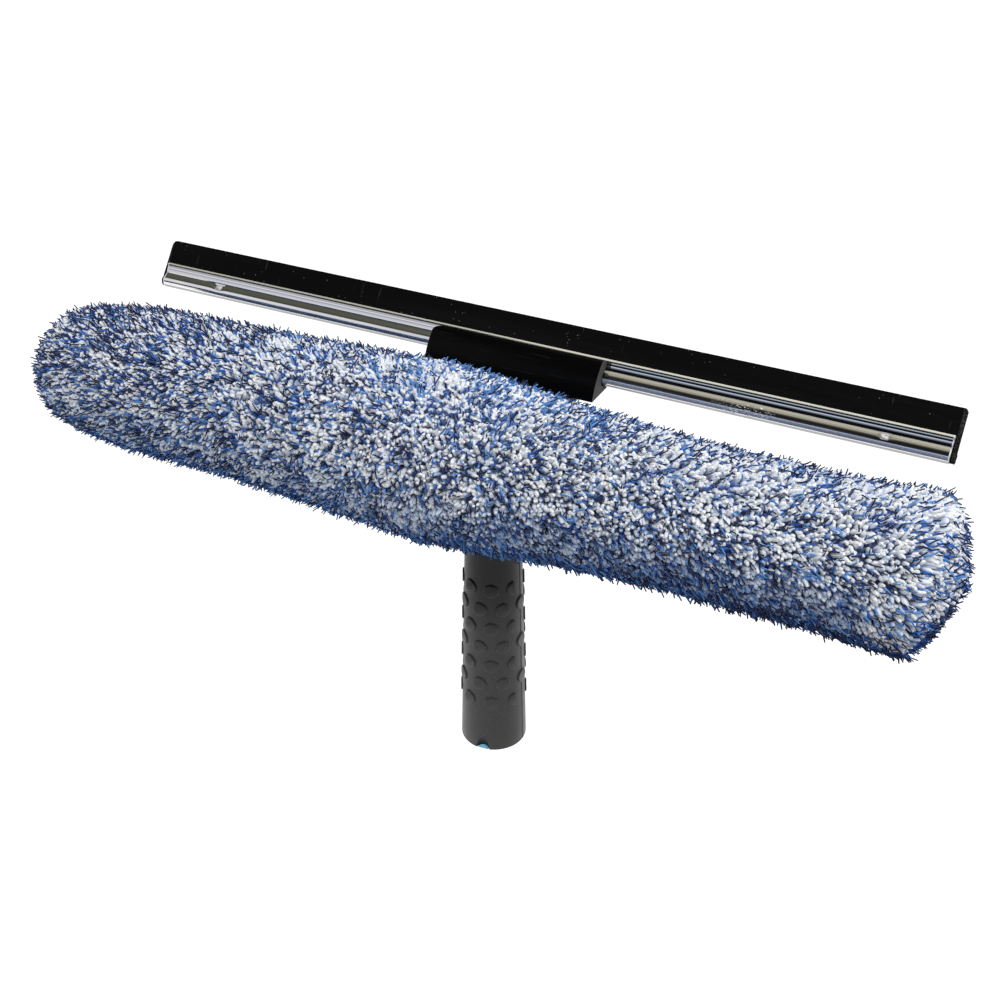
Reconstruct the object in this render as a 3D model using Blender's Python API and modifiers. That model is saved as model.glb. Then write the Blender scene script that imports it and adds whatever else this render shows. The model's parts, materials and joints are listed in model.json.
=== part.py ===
"""A two-in-one window tool: a squeegee and a washer sleeve on one upright grip handle.

Lengths are in metres. X runs along the blade, +Y points to the back, which is the squeegee's
side, and +Z points up. The origin is the centre of the handle's foot.
"""

import math

import bmesh
import bpy
from mathutils import Matrix, Vector

# Clearances and drawing aids
SEAT_GAP = 0.0003
RUN_GAP = 0.0004
CUT_OVERRUN = 0.002
WELD_DISTANCE = 0.000003
ARC_STEPS = 8
TURN_STEPS = 32

# Grip: the soft outer tube of the handle
GRIP_LENGTH = 0.150
GRIP_FOOT_RADIUS = 0.0188
GRIP_TOP_RADIUS = 0.0153
GRIP_WALL = 0.0024
GRIP_EDGE = 0.0008
GRIP_STEPS = 40
BUMP_ROWS = 7
BUMP_COLUMNS = 16
BUMP_RADIUS = 0.0043
BUMP_EDGE = 0.0006
BUMP_HEIGHT = 0.0007
BUMP_SINK = 0.0008
BUMP_SIDES = 10
BUMP_TOP_MARGIN = 0.0398
BUMP_ROW_PITCH = 0.01263
NOTCH_ANGLE = math.radians(7.0)
NOTCH_WIDTH = 0.0075
NOTCH_HEIGHT = 0.0020
SCOOP_WIDTH = 0.0072
SCOOP_HEIGHT = 0.0115
SCOOP_DEPTH = 0.0013

# Handle core: the hard tube inside the grip, with a spigot for the head
CORE_BORE_RADIUS = 0.0085
CORE_BORE_INSET = 0.008
SPIGOT_RADIUS = 0.0117
SPIGOT_LENGTH = 0.028
SPIGOT_EDGE = 0.0010

# Pole insert: the coloured socket that takes an extension pole
INSERT_RADIUS = 0.0120
INSERT_LENGTH = 0.060
INSERT_FLANGE = 0.0030
INSERT_RECESS = 0.0003
POLE_BORE_RADIUS = 0.0095
KEY_COUNT = 4
KEY_WIDTH = 0.0024
KEY_HEIGHT = 0.0009
KEY_LENGTH = 0.040

# Head: collar, front arm to the bar, rear fan to the clip
COLLAR_RADIUS = 0.0158
COLLAR_TOP_RADIUS = 0.0142
COLLAR_HEIGHT = 0.038
COLLAR_DOME = 0.0047
COLLAR_EDGE = 0.0010
NECK_PIN_RADIUS = 0.0018
NECK_PIN_RISE = 0.015
FAN_HALF_WIDTH = 0.0395
FAN_NECK_HALF_WIDTH = 0.0130
FAN_NECK_HALF_DEPTH = 0.0115
FAN_NECK_POWER = 2.4
FAN_PLATE_POWER = 8.0
FAN_INSET = 0.0014
PLATE_THICKNESS = 0.0042
ARM_HALF_WIDTH = 0.0110
ARM_HALF_HEIGHT = 0.0085
ARM_FLANGE = 0.0040
ARM_POWER = 3.0
EAR_THICKNESS = 0.0040
EAR_RADIUS = 0.0046
LOFT_SIDES = 24

# Squeegee blade, in its own frame: up the blade is +Z, its front is -Y
BLADE_LEAN = math.radians(33.4)
BEAD_Y = 0.0237
BEAD_RISE = 0.0786
CHANNEL_LENGTH = 0.450
CHANNEL_HEIGHT = 0.0128
CHANNEL_WALL = 0.0010
VALLEY_WALL = 0.0006
VALLEY_RISE = 0.0010
BEAD_RADIUS = 0.0032
LIP_RADIUS = 0.0007
LIP_REACH = 0.0010
CRIMP_INSET = 0.035
CRIMP_LENGTH = 0.0050
CRIMP_WIDTH = 0.0030
CRIMP_DEPTH = 0.0005
RUBBER_HEIGHT = 0.0250
RUBBER_WEB = 0.0020
RUBBER_EDGE = 0.0016
RUBBER_OVERHANG = 0.0015
RUBBER_CORNER = 0.0020

# Clip: the glossy fixed jaw that the channel lies in
CLIP_LENGTH = 0.1016
CLIP_FOOT_REACH = 0.0094
CLIP_HEAD_REACH = 0.0088
CLIP_BOW = 0.0017
CLIP_SHOULDER_BOW = 0.0006
CLIP_DROP = 0.0110
CLIP_TOP = 0.0100
CLIP_REAR_REACH = 0.0059
CLIP_REAR_TOP = 0.00145
CLIP_GROOVE_RADIUS = 0.0046
CLIP_EDGE = 0.0005
CLIP_SCREW_X = 0.030
CLIP_SCREW_INSET = 0.0071
CLIP_SCREW_RADIUS = 0.0015
CLIP_SCREW_BITE = 0.0065

# Release lever: the sprung rear jaw with its thumb pad
PIN_SET_BACK = 0.0093
PIN_DROP = 0.0101
PIN_RADIUS = 0.0015
PIN_HEAD_RADIUS = 0.0028
PIN_HEAD_THICKNESS = 0.0012
RING_RADIUS = 0.0032
RING_THICKNESS = 0.0008
RING_MOUTH = math.radians(70.0)
LEVER_HALF_WIDTH = 0.0217
LEVER_BOSS_RADIUS = 0.0050
JAW_HALF_WIDTH = 0.044
JAW_TOP = 0.0110
JAW_THICKNESS = 0.0034
JAW_PAD_THICKNESS = 0.0010
JAW_PAD_HEIGHT = 0.0034
JAW_PAD_HALF_WIDTH = 0.041
THUMB_DROP = 0.0355
THUMB_SET_BACK = 0.0062
THUMB_THICKNESS = 0.0030
THUMB_TIP_HALF_WIDTH = 0.0150
THUMB_RIDGES = 5
THUMB_RIDGE_PITCH = 0.0038
THUMB_RIDGE_RADIUS = 0.0007

# Torsion spring round the lever's pin
SPRING_WIRE_RADIUS = 0.0005
SPRING_COIL_RADIUS = 0.0027
SPRING_PITCH = 0.0016
SPRING_TURNS = 5
SPRING_STEPS = 10
SPRING_LEG = 0.0135
SPRING_FRONT_LEG = math.radians(143.0)
SPRING_SLOT_HALF_WIDTH = 0.0058

# Bar inside the washer sleeve, in its own frame: +Y points down the arm to the handle
BAR_Y = -0.050
BAR_RISE = 0.062
ARM_TILT = math.radians(33.0)
BAR_INSET = 0.021
BAR_HALF_DEPTH = 0.0170
BAR_HALF_HEIGHT = 0.0210
BAR_WALL = 0.0024
BAR_STEPS = 32
BAR_PAD_FACE = 0.0184
BAR_PAD_HALF_LENGTH = 0.0250
BAR_PAD_HALF_HEIGHT = 0.0110
BAR_BLOCK_DEPTH = 0.0130
BAR_SLOT_COUNT = 9
BAR_SLOT_LENGTH = 0.030
BAR_SLOT_HEIGHT = 0.0060
BAR_SLOT_MARGIN = 0.016
BAR_SLOT_RISE = 0.0085
BAR_CAP_REACH = 0.0080
BAR_CAP_PLUG = 0.0120
BAR_SCREW_X = 0.0180
BAR_SCREW_RADIUS = 0.0017
BAR_SCREW_HEAD_RADIUS = 0.0034
BAR_SCREW_HEAD = 0.0022
BAR_SCREW_CROWN = 0.0024
BAR_SCREW_BITE = 0.0100

# Washer sleeve: the outside of its pile, its cloth and its back closure
SLEEVE_LENGTH = 0.500
SLEEVE_RADIUS = 0.0370
SLEEVE_SIDES = 24
CLOTH = 0.0016
WINDOW_MARGIN = 0.0020
CLOSURE_LENGTH = 0.030
CLOSURE_MARGIN = 0.0030
CLOSURE_HALF_HEIGHT = 0.0150
CLOSURE_EDGE_MARGIN = 0.0030
SLIT_HEIGHT = 0.0016
TAB_THICKNESS = 0.0012
PATCH_THICKNESS = 0.0009
PATCH_HEIGHT = 0.0120

# Where the sleeve's outline lies, from one tip to the other: share of its half length, share
# of its radius. The pile stands fuller over the arm, the left end is rounder, and at the right
# end it flares.
SLEEVE_SHARES = (
    (-0.998, 0.18), (-0.990, 0.34), (-0.978, 0.52), (-0.958, 0.70), (-0.934, 0.83),
    (-0.910, 0.90), (-0.858, 0.965), (-0.749, 1.09), (-0.499, 1.10), (-0.250, 1.18),
    (-0.100, 1.22), (0.0, 1.225), (0.120, 1.15), (0.250, 1.06), (0.499, 0.975),
    (0.749, 0.96), (0.858, 1.01), (0.910, 1.045), (0.940, 1.02), (0.962, 0.90),
    (0.978, 0.69), (0.990, 0.46), (0.998, 0.24),
)

# Fan sections from the neck up: share of the height, share of the way from the neck's width,
# depth and centre to the plate's
FAN_SHARES = ((0.0, 0.0, 0.0, 0.0), (0.26, 0.0, 0.05, 0.16), (0.60, 0.35, 0.72, 0.56),
              (0.80, 0.74, 1.0, 0.80), (0.90, 1.0, 1.0, 1.0), (1.0, 1.0, 1.0, 1.0))

# Arm sections from the flange to the handle: share of the way, share of the flange's size
# that is left over the plain arm's
ARM_SHARES = ((0.0, 1.0), (0.10, 0.30), (0.22, 0.06), (0.45, 0.0), (1.0, 0.10))

# Thumb pad: share of the drop below the pin, share of the set-back
THUMB_SHARES = ((0.22, 0.10), (0.55, 0.62), (0.82, 0.92), (1.0, 1.0))

# Where the thumb pad starts to narrow, is at its narrowest and starts to round off, as shares
# of its drop, and how much of its narrow width a ridge takes
THUMB_WAIST_SHARES = (0.30, 0.75, 0.90)
THUMB_RIDGE_SHARE = 0.8

# Back of the jaw from its top edge down: share of its thickness behind the face, share of its
# thickness above the jaw's top. Below that it spreads towards the stem.
JAW_NOSE_SHARES = ((0.4, 0.3), (1.0, 0.0))
JAW_ROOT_SHARE = 1.45
STEM_ROOT_SHARE = 1.3

HALF_TURN = math.pi
QUARTER_TURN = math.pi / 2
FULL_TURN = 2 * math.pi
BUMP_ANGLE = FULL_TURN / BUMP_COLUMNS
SLOT_HALF = RUBBER_WEB / 2 + SEAT_GAP
VALLEY_HALF = SLOT_HALF + VALLEY_WALL
FLANGE_HALF = SLOT_HALF + CHANNEL_WALL
CLIP_REAR_FOOT = -CLIP_DROP + (CLIP_FOOT_REACH + CLIP_REAR_REACH) * math.tan(BLADE_LEAN)
JAW_FACE = FLANGE_HALF + SEAT_GAP + JAW_PAD_THICKNESS + SEAT_GAP
INSERT_FLANGE_RADIUS = GRIP_FOOT_RADIUS - GRIP_WALL - SEAT_GAP
CORE_FOOT_Z = INSERT_RECESS + INSERT_FLANGE + SEAT_GAP
SPIGOT_TOP_Z = GRIP_LENGTH + SPIGOT_LENGTH
CORE_BORE_TOP_Z = GRIP_LENGTH - CORE_BORE_INSET
COLLAR_TOP_Z = GRIP_LENGTH + COLLAR_HEIGHT
NECK_PIN_Z = GRIP_LENGTH + NECK_PIN_RISE
BEAD_Z = GRIP_LENGTH + BEAD_RISE
PIN_Y = BEAD_Y + PIN_SET_BACK
PIN_Z = BEAD_Z - PIN_DROP
BAR_Z = GRIP_LENGTH + BAR_RISE
BAR_LENGTH = SLEEVE_LENGTH - 2 * BAR_INSET
BAR_SLOT_PITCH = (BAR_LENGTH - 2 * BAR_SLOT_MARGIN) / BAR_SLOT_COUNT
FLANGE_BACK = BAR_PAD_FACE + SEAT_GAP + ARM_FLANGE
EAR_INNER = LEVER_HALF_WIDTH + RUN_GAP
EAR_OUTER = EAR_INNER + EAR_THICKNESS
CLOTH_HALF_DEPTH = BAR_HALF_DEPTH + SEAT_GAP + CLOTH
CLOTH_HALF_HEIGHT = BAR_HALF_HEIGHT + SEAT_GAP + CLOTH
WINDOW_HALF_LENGTH = BAR_PAD_HALF_LENGTH + WINDOW_MARGIN
WINDOW_HALF_HEIGHT = BAR_PAD_HALF_HEIGHT + WINDOW_MARGIN
CLOSURE_START = WINDOW_HALF_LENGTH + CLOSURE_MARGIN

SIDE_VIEW = Matrix(((0, 0, 1, 0), (1, 0, 0, 0), (0, 1, 0, 0), (0, 0, 0, 1)))
SMOOTH_ANGLE = math.radians(35.0)
BEVEL_ANGLE = math.radians(50.0)

for old in list(bpy.data.objects):
    bpy.data.objects.remove(old, do_unlink=True)

TOOL = bpy.data.collections.new("window_tool")
CUTTERS = bpy.data.collections.new("cutters")
bpy.context.scene.collection.children.link(TOOL)
bpy.context.scene.collection.children.link(CUTTERS)


def finish(name, color, roughness, metallic=0.0):
    """A plain surface of one colour."""
    material = bpy.data.materials.new(name)
    material.use_nodes = True
    shader = material.node_tree.nodes["Principled BSDF"]
    shader.inputs["Base Color"].default_value = (*color, 1.0)
    shader.inputs["Roughness"].default_value = roughness
    shader.inputs["Metallic"].default_value = metallic
    return material


def frame(name, location, tilt=0.0):
    """An empty that carries the pieces of one group, turned about X."""
    empty = bpy.data.objects.new(name, None)
    TOOL.objects.link(empty)
    empty.location = location
    empty.rotation_euler = (tilt, 0.0, 0.0)
    return empty


def piece(name, mesh, material, carrier=None):
    """One solid of the tool."""
    obj = bpy.data.objects.new(name, mesh)
    mesh.materials.clear()
    mesh.materials.append(material)
    TOOL.objects.link(obj)
    obj.parent = carrier
    return obj


def guide(name, mesh, carrier=None):
    """A shape that only cuts or joins another."""
    obj = bpy.data.objects.new(name, mesh)
    CUTTERS.objects.link(obj)
    obj.parent = carrier
    obj.hide_render = True
    obj.display_type = "WIRE"
    return obj


def boolean(target, other, operation):
    modifier = target.modifiers.new(other.name, "BOOLEAN")
    modifier.operation = operation
    modifier.solver = "EXACT"
    modifier.object = other


def cut(target, cutter):
    boolean(target, cutter, "DIFFERENCE")


def join(target, other):
    boolean(target, other, "UNION")


def soften(obj, width, segments=2):
    """Rounded edges wherever the faces meet sharply."""
    bevel = obj.modifiers.new("edges", "BEVEL")
    bevel.width = width
    bevel.segments = segments
    bevel.limit_method = "ANGLE"
    bevel.angle_limit = BEVEL_ANGLE
    bevel.use_clamp_overlap = True


def mesh_of(bm, name):
    """A mesh from a finished bmesh, shaded smooth but for its corners."""
    bmesh.ops.recalc_face_normals(bm, faces=bm.faces)
    mesh = bpy.data.meshes.new(name)
    bm.to_mesh(mesh)
    bm.free()
    mesh.shade_smooth()
    mesh.set_sharp_from_angle(angle=SMOOTH_ANGLE)
    return mesh


def add_box(bm, low, high):
    size = [b - a for a, b in zip(low, high)]
    middle = [(a + b) / 2 for a, b in zip(low, high)]
    place = Matrix.Translation(middle) @ Matrix.Diagonal((*size, 1.0))
    bmesh.ops.create_cube(bm, size=1.0, matrix=place)


def box(name, low, high):
    bm = bmesh.new()
    add_box(bm, low, high)
    return mesh_of(bm, name)


def add_rod(bm, radius, start, end, sides=TURN_STEPS, end_radius=None):
    """A round bar between two points."""
    start, end = Vector(start), Vector(end)
    run = end - start
    turn = run.to_track_quat("Z", "Y").to_matrix().to_4x4()
    place = Matrix.Translation((start + end) / 2) @ turn
    far = radius if end_radius is None else end_radius
    bmesh.ops.create_cone(bm, cap_ends=True, segments=sides, radius1=radius, radius2=far,
                          depth=run.length, matrix=place)


def rod(name, radius, start, end, sides=TURN_STEPS):
    bm = bmesh.new()
    add_rod(bm, radius, start, end, sides)
    return mesh_of(bm, name)


def extrusion(name, outlines, half_width, middle=0.0):
    """Outlines of (y, z) points, filled and drawn out along X. A second outline is a hole."""
    curve = bpy.data.curves.new(name, "CURVE")
    curve.dimensions = "2D"
    curve.fill_mode = "BOTH"
    curve.extrude = half_width
    for outline in outlines:
        spline = curve.splines.new("POLY")
        spline.points.add(len(outline) - 1)
        for point, (y, z) in zip(spline.points, outline):
            point.co = (y, z, 0.0, 1.0)
        spline.use_cyclic_u = True
    holder = bpy.data.objects.new(name, curve)
    CUTTERS.objects.link(holder)
    graph = bpy.context.evaluated_depsgraph_get()
    mesh = bpy.data.meshes.new_from_object(holder.evaluated_get(graph))
    bpy.data.objects.remove(holder, do_unlink=True)
    mesh.transform(Matrix.Translation((middle, 0.0, 0.0)) @ SIDE_VIEW)
    bm = bmesh.new()
    bm.from_mesh(mesh)
    bmesh.ops.remove_doubles(bm, verts=bm.verts, dist=WELD_DISTANCE)
    bpy.data.meshes.remove(mesh)
    return mesh_of(bm, name)


def deep_extrusion(name, outlines, half_depth):
    """Outlines of (x, z) points, filled and drawn out along Y."""
    mesh = extrusion(name, outlines, half_depth)
    mesh.transform(Matrix.Rotation(-QUARTER_TURN, 4, "Z"))
    return mesh


def turned(obj, steps):
    """A profile turned round Z. At +X the profile runs down its outer side."""
    screw = obj.modifiers.new("turn", "SCREW")
    screw.steps = steps
    screw.render_steps = steps
    screw.use_merge_vertices = True
    screw.merge_threshold = WELD_DISTANCE
    screw.use_smooth_shade = True


def profile(name, points, closed):
    """The profile's points (radius, z) as a chain of edges."""
    mesh = bpy.data.meshes.new(name)
    count = len(points)
    edges = [(i, i + 1) for i in range(count - 1)]
    if closed:
        edges.append((count - 1, 0))
    mesh.from_pydata([(r, 0.0, z) for r, z in points], edges, [])
    return mesh


def loft(name, rings):
    """A closed skin over rings that have as many points each, with flat ends."""
    bm = bmesh.new()
    rows = [[bm.verts.new(point) for point in ring] for ring in rings]
    count = len(rings[0])
    for low, high in zip(rows, rows[1:]):
        for i in range(count):
            j = (i + 1) % count
            bm.faces.new((low[i], low[j], high[j], high[i]))
    bm.faces.new(rows[0])
    bm.faces.new(rows[-1])
    return mesh_of(bm, name)


def superellipse(half_a, half_b, power, count):
    """Points round an oval, which is squarer with a higher power."""
    points = []
    for i in range(count):
        angle = FULL_TURN * (i + 0.5) / count
        c, s = math.cos(angle), math.sin(angle)
        points.append((half_a * math.copysign(abs(c) ** (2 / power), c),
                       half_b * math.copysign(abs(s) ** (2 / power), s)))
    return points


def arc(center, radius, start, end, steps=ARC_STEPS):
    """Points (a, b) on a circle, from one angle to another."""
    angles = [start + (end - start) * i / steps for i in range(steps + 1)]
    return [(center[0] + radius * math.cos(a), center[1] + radius * math.sin(a))
            for a in angles]


def bowed(start, end, bow, steps=ARC_STEPS):
    """Points from start to end, bowed out to the right of the way."""
    run = Vector(end) - Vector(start)
    out = Vector((run.y, -run.x)).normalized()
    points = []
    for i in range(steps + 1):
        share = i / steps
        point = Vector(start) + run * share + out * bow * 4 * share * (1 - share)
        points.append((point.x, point.y))
    return points


def mix(a, b, share):
    return a + (b - a) * share


def front_to_local(points):
    """Outline points (n in front, t up the blade) to the blade frame's (y, z)."""
    return [(-n, t) for n, t in points]


def blade_to_world(n, t):
    """A point of the blade's section, n in front and t up, as world (y, z)."""
    return (BEAD_Y + t * math.sin(BLADE_LEAN) - n * math.cos(BLADE_LEAN),
            BEAD_Z + t * math.cos(BLADE_LEAN) + n * math.sin(BLADE_LEAN))


def grip_radius(z):
    return mix(GRIP_FOOT_RADIUS, GRIP_TOP_RADIUS, z / GRIP_LENGTH)


def wrapped_bumps():
    """Low round discs bent round the grip, every other column shifted half a pitch."""
    bm = bmesh.new()
    for row in range(BUMP_ROWS):
        middle_z = GRIP_LENGTH - BUMP_TOP_MARGIN - row * BUMP_ROW_PITCH
        for column in range(1 - row % 2, BUMP_COLUMNS, 2):
            disc = bmesh.new()
            bmesh.ops.create_cone(disc, cap_ends=True, segments=BUMP_SIDES,
                                  radius1=BUMP_RADIUS, radius2=BUMP_RADIUS - BUMP_EDGE,
                                  depth=BUMP_HEIGHT + BUMP_SINK)
            caps = [face for face in disc.faces if len(face.verts) > 4]
            bmesh.ops.poke(disc, faces=caps)
            for vert in disc.verts:
                z = middle_z + vert.co.y
                around = column * BUMP_ANGLE + vert.co.x / grip_radius(z)
                height = vert.co.z + (BUMP_HEIGHT - BUMP_SINK) / 2
                radius = grip_radius(z) + height
                vert.co = (radius * math.sin(around), -radius * math.cos(around), z)
            bmesh.ops.recalc_face_normals(disc, faces=disc.faces)
            held = bpy.data.meshes.new("disc")
            disc.to_mesh(held)
            disc.free()
            bm.from_mesh(held)
            bpy.data.meshes.remove(held)
    return mesh_of(bm, "bumps")


def make_grip(material):
    inner_foot = GRIP_FOOT_RADIUS - GRIP_WALL
    inner_top = GRIP_TOP_RADIUS - GRIP_WALL
    top_round = arc((GRIP_TOP_RADIUS - GRIP_EDGE, GRIP_LENGTH - GRIP_EDGE), GRIP_EDGE,
                    QUARTER_TURN, 0.0, steps=3)
    foot_round = arc((GRIP_FOOT_RADIUS - GRIP_EDGE, GRIP_EDGE), GRIP_EDGE,
                     0.0, -QUARTER_TURN, steps=3)
    points = top_round + foot_round + [(inner_foot, 0.0), (inner_top, GRIP_LENGTH)]
    grip = piece("grip", profile("grip", points, closed=True), material)
    turned(grip, GRIP_STEPS)
    join(grip, guide("bump_discs", wrapped_bumps()))

    outward = Vector((math.sin(NOTCH_ANGLE), -math.cos(NOTCH_ANGLE), 0.0))
    arch_radius = (NOTCH_WIDTH ** 2 / 4 + NOTCH_HEIGHT ** 2) / (2 * NOTCH_HEIGHT)
    drop = Vector((0.0, 0.0, NOTCH_HEIGHT - arch_radius))
    near = outward * (inner_foot - CUT_OVERRUN) + drop
    far = outward * (GRIP_FOOT_RADIUS + CUT_OVERRUN) + drop
    cut(grip, guide("notch", rod("notch", arch_radius, near, far)))

    scoop = bmesh.new()
    turn = Matrix.Rotation(NOTCH_ANGLE, 4, "Z")
    size = Matrix.Diagonal((SCOOP_WIDTH / 2, SCOOP_DEPTH, SCOOP_HEIGHT, 1.0))
    place = Matrix.Translation((0.0, -GRIP_FOOT_RADIUS, 0.0))
    bmesh.ops.create_uvsphere(scoop, u_segments=16, v_segments=10, radius=1.0,
                              matrix=turn @ place @ size)
    cut(grip, guide("scoop", mesh_of(scoop, "scoop")))
    return grip


def key_bars(radius, width, low, high):
    """Bars that stand out of a round surface along the handle's axis."""
    bm = bmesh.new()
    for index in range(KEY_COUNT):
        bar = bmesh.new()
        add_box(bar, (-width / 2, 0.0, low), (width / 2, radius, high))
        turn = Matrix.Rotation(FULL_TURN * index / KEY_COUNT, 4, "Z")
        bar.transform(turn @ Matrix.Translation((0.0, INSERT_RADIUS - KEY_WIDTH / 2, 0.0)))
        held = bpy.data.meshes.new("bar")
        bar.to_mesh(held)
        bar.free()
        bm.from_mesh(held)
        bpy.data.meshes.remove(held)
    return mesh_of(bm, "key_bars")


def make_pole_insert(material):
    top = INSERT_RECESS + INSERT_LENGTH
    flange_top = INSERT_RECESS + INSERT_FLANGE
    points = [(POLE_BORE_RADIUS, top), (INSERT_RADIUS, top), (INSERT_RADIUS, flange_top),
              (INSERT_FLANGE_RADIUS, flange_top), (INSERT_FLANGE_RADIUS, INSERT_RECESS),
              (POLE_BORE_RADIUS, INSERT_RECESS)]
    insert = piece("pole_insert", profile("pole_insert", points, closed=True), material)
    turned(insert, TURN_STEPS)
    reach = KEY_WIDTH / 2 + KEY_HEIGHT
    low = flange_top - INSERT_FLANGE / 2
    join(insert, guide("keys", key_bars(reach, KEY_WIDTH, low, flange_top + KEY_LENGTH)))
    return insert


def make_handle_core(material):
    insert_top = INSERT_RECESS + INSERT_LENGTH + SEAT_GAP
    outer_foot = grip_radius(CORE_FOOT_Z) - GRIP_WALL - SEAT_GAP
    outer_top = GRIP_TOP_RADIUS - GRIP_WALL - SEAT_GAP
    socket = INSERT_RADIUS + SEAT_GAP
    points = [(0.0, SPIGOT_TOP_Z), (SPIGOT_RADIUS - SPIGOT_EDGE, SPIGOT_TOP_Z),
              (SPIGOT_RADIUS, SPIGOT_TOP_Z - SPIGOT_EDGE), (SPIGOT_RADIUS, GRIP_LENGTH),
              (outer_top, GRIP_LENGTH), (outer_foot, CORE_FOOT_Z), (socket, CORE_FOOT_Z),
              (socket, insert_top), (CORE_BORE_RADIUS, insert_top),
              (CORE_BORE_RADIUS, CORE_BORE_TOP_Z), (0.0, CORE_BORE_TOP_Z)]
    core = piece("handle_core", profile("handle_core", points, closed=False), material)
    turned(core, TURN_STEPS)
    reach = KEY_WIDTH / 2 + KEY_HEIGHT + SEAT_GAP
    low = CORE_FOOT_Z - CUT_OVERRUN
    high = INSERT_RECESS + INSERT_FLANGE + KEY_LENGTH + SEAT_GAP
    cut(core, guide("key_ways", key_bars(reach, KEY_WIDTH + 2 * SEAT_GAP, low, high)))
    hole = NECK_PIN_RADIUS + SEAT_GAP
    cut(core, guide("core_pin_hole", rod("core_pin_hole", hole, (-COLLAR_RADIUS, 0.0, NECK_PIN_Z),
                                         (COLLAR_RADIUS, 0.0, NECK_PIN_Z), sides=16)))
    return core


def ring_at(half_x, half_y, center_y, z, power):
    return [(x, center_y + y, z)
            for x, y in superellipse(half_x, half_y, power, LOFT_SIDES)]


def plate_span():
    """The head plate's front, back and top under the clip."""
    front, top = blade_to_world(CLIP_FOOT_REACH, -CLIP_DROP)
    back = blade_to_world(-CLIP_REAR_REACH, CLIP_REAR_FOOT)[0]
    return front + FAN_INSET, back - FAN_INSET, top - SEAT_GAP


def make_collar():
    """The head's round socket, as a turned solid."""
    foot = GRIP_LENGTH + SEAT_GAP
    dome = [(0.0, COLLAR_TOP_Z + COLLAR_DOME)]
    for step in range(3, -1, -1):
        angle = QUARTER_TURN * step / 4
        dome.append((COLLAR_TOP_RADIUS * math.cos(angle),
                     COLLAR_TOP_Z + COLLAR_DOME * math.sin(angle)))
    points = dome + [(COLLAR_RADIUS, foot + COLLAR_EDGE), (COLLAR_RADIUS - COLLAR_EDGE, foot),
                     (0.0, foot)]
    return profile("head", points, closed=False)


def fan_rings():
    front, back, top = plate_span()
    low_z = COLLAR_TOP_Z - FAN_NECK_HALF_DEPTH
    rings = []
    for height, width, depth, shift in FAN_SHARES:
        rings.append(ring_at(mix(FAN_NECK_HALF_WIDTH, FAN_HALF_WIDTH, width),
                             mix(FAN_NECK_HALF_DEPTH, (back - front) / 2, depth),
                             mix(0.0, (front + back) / 2, shift),
                             mix(low_z, top, height), mix(FAN_NECK_POWER, FAN_PLATE_POWER, width)))
    return rings


def arm_rings():
    """The front arm in the bar's frame, from the flange to the handle's axis."""
    end = -BAR_Y / math.cos(ARM_TILT)
    rings = []
    for way, left_over in ARM_SHARES:
        half_x = mix(ARM_HALF_WIDTH, BAR_SCREW_X - BAR_SCREW_HEAD_RADIUS, left_over)
        half_z = mix(ARM_HALF_HEIGHT, BAR_PAD_HALF_HEIGHT, left_over)
        y = mix(FLANGE_BACK - ARM_FLANGE / 2, end, way)
        section = superellipse(half_x, half_z, ARM_POWER, LOFT_SIDES)
        rings.append([(x, y, z) for x, z in section])
    return rings


def ear_outline():
    back, top = plate_span()[1:]
    root_low = top - 2 * EAR_RADIUS
    start = (back - 2 * EAR_RADIUS, top - PLATE_THICKNESS / 2)
    round_end = arc((PIN_Y, PIN_Z), EAR_RADIUS, QUARTER_TURN, -QUARTER_TURN)
    return [start] + round_end + [(back - 2 * EAR_RADIUS, root_low)]


def make_head(material, bar_frame):
    head = piece("head", make_collar(), material)
    turned(head, TURN_STEPS)
    join(head, guide("fan", loft("fan", fan_rings())))
    join(head, guide("arm", loft("arm", arm_rings()), bar_frame))
    low = (-BAR_PAD_HALF_LENGTH, BAR_PAD_FACE + SEAT_GAP, -BAR_PAD_HALF_HEIGHT)
    high = (BAR_PAD_HALF_LENGTH, FLANGE_BACK, BAR_PAD_HALF_HEIGHT)
    flange = guide("arm_flange", box("arm_flange", low, high), bar_frame)
    soften(flange, GRIP_EDGE)
    join(head, flange)
    for side, name in ((-1, "ear_left"), (1, "ear_right")):
        middle = side * (EAR_INNER + EAR_OUTER) / 2
        join(head, guide(name, extrusion(name, [ear_outline()], EAR_THICKNESS / 2, middle)))

    bore = rod("spigot_bore", SPIGOT_RADIUS + SEAT_GAP, (0.0, 0.0, GRIP_LENGTH - CUT_OVERRUN),
               (0.0, 0.0, SPIGOT_TOP_Z + SEAT_GAP))
    cut(head, guide("spigot_bore", bore))
    reach = COLLAR_RADIUS + CUT_OVERRUN
    pin_hole = rod("neck_pin_hole", NECK_PIN_RADIUS + SEAT_GAP, (-reach, 0.0, NECK_PIN_Z),
                   (reach, 0.0, NECK_PIN_Z), sides=16)
    cut(head, guide("neck_pin_hole", pin_hole))
    reach = EAR_OUTER + CUT_OVERRUN
    ear_holes = rod("ear_holes", PIN_RADIUS + SEAT_GAP, (-reach, PIN_Y, PIN_Z),
                    (reach, PIN_Y, PIN_Z), sides=16)
    cut(head, guide("ear_holes", ear_holes))
    top = plate_span()[2]
    under = top - PLATE_THICKNESS
    shank = CLIP_SCREW_RADIUS + SEAT_GAP
    shanks = clip_screw_holes("shank_holes", shank, under - CUT_OVERRUN, top + CUT_OVERRUN)
    cut(head, guide("shank_holes", shanks))
    room = clip_screw_holes("screw_room", shank + CLIP_SCREW_RADIUS, under - FAN_HALF_WIDTH / 2, under)
    cut(head, guide("screw_room", room))
    cut(head, guide("bar_screw_holes", bar_screw_holes(), bar_frame))
    return head


def clip_screw_y():
    return blade_to_world(CLIP_FOOT_REACH, -CLIP_DROP)[0] + CLIP_SCREW_INSET


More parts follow.
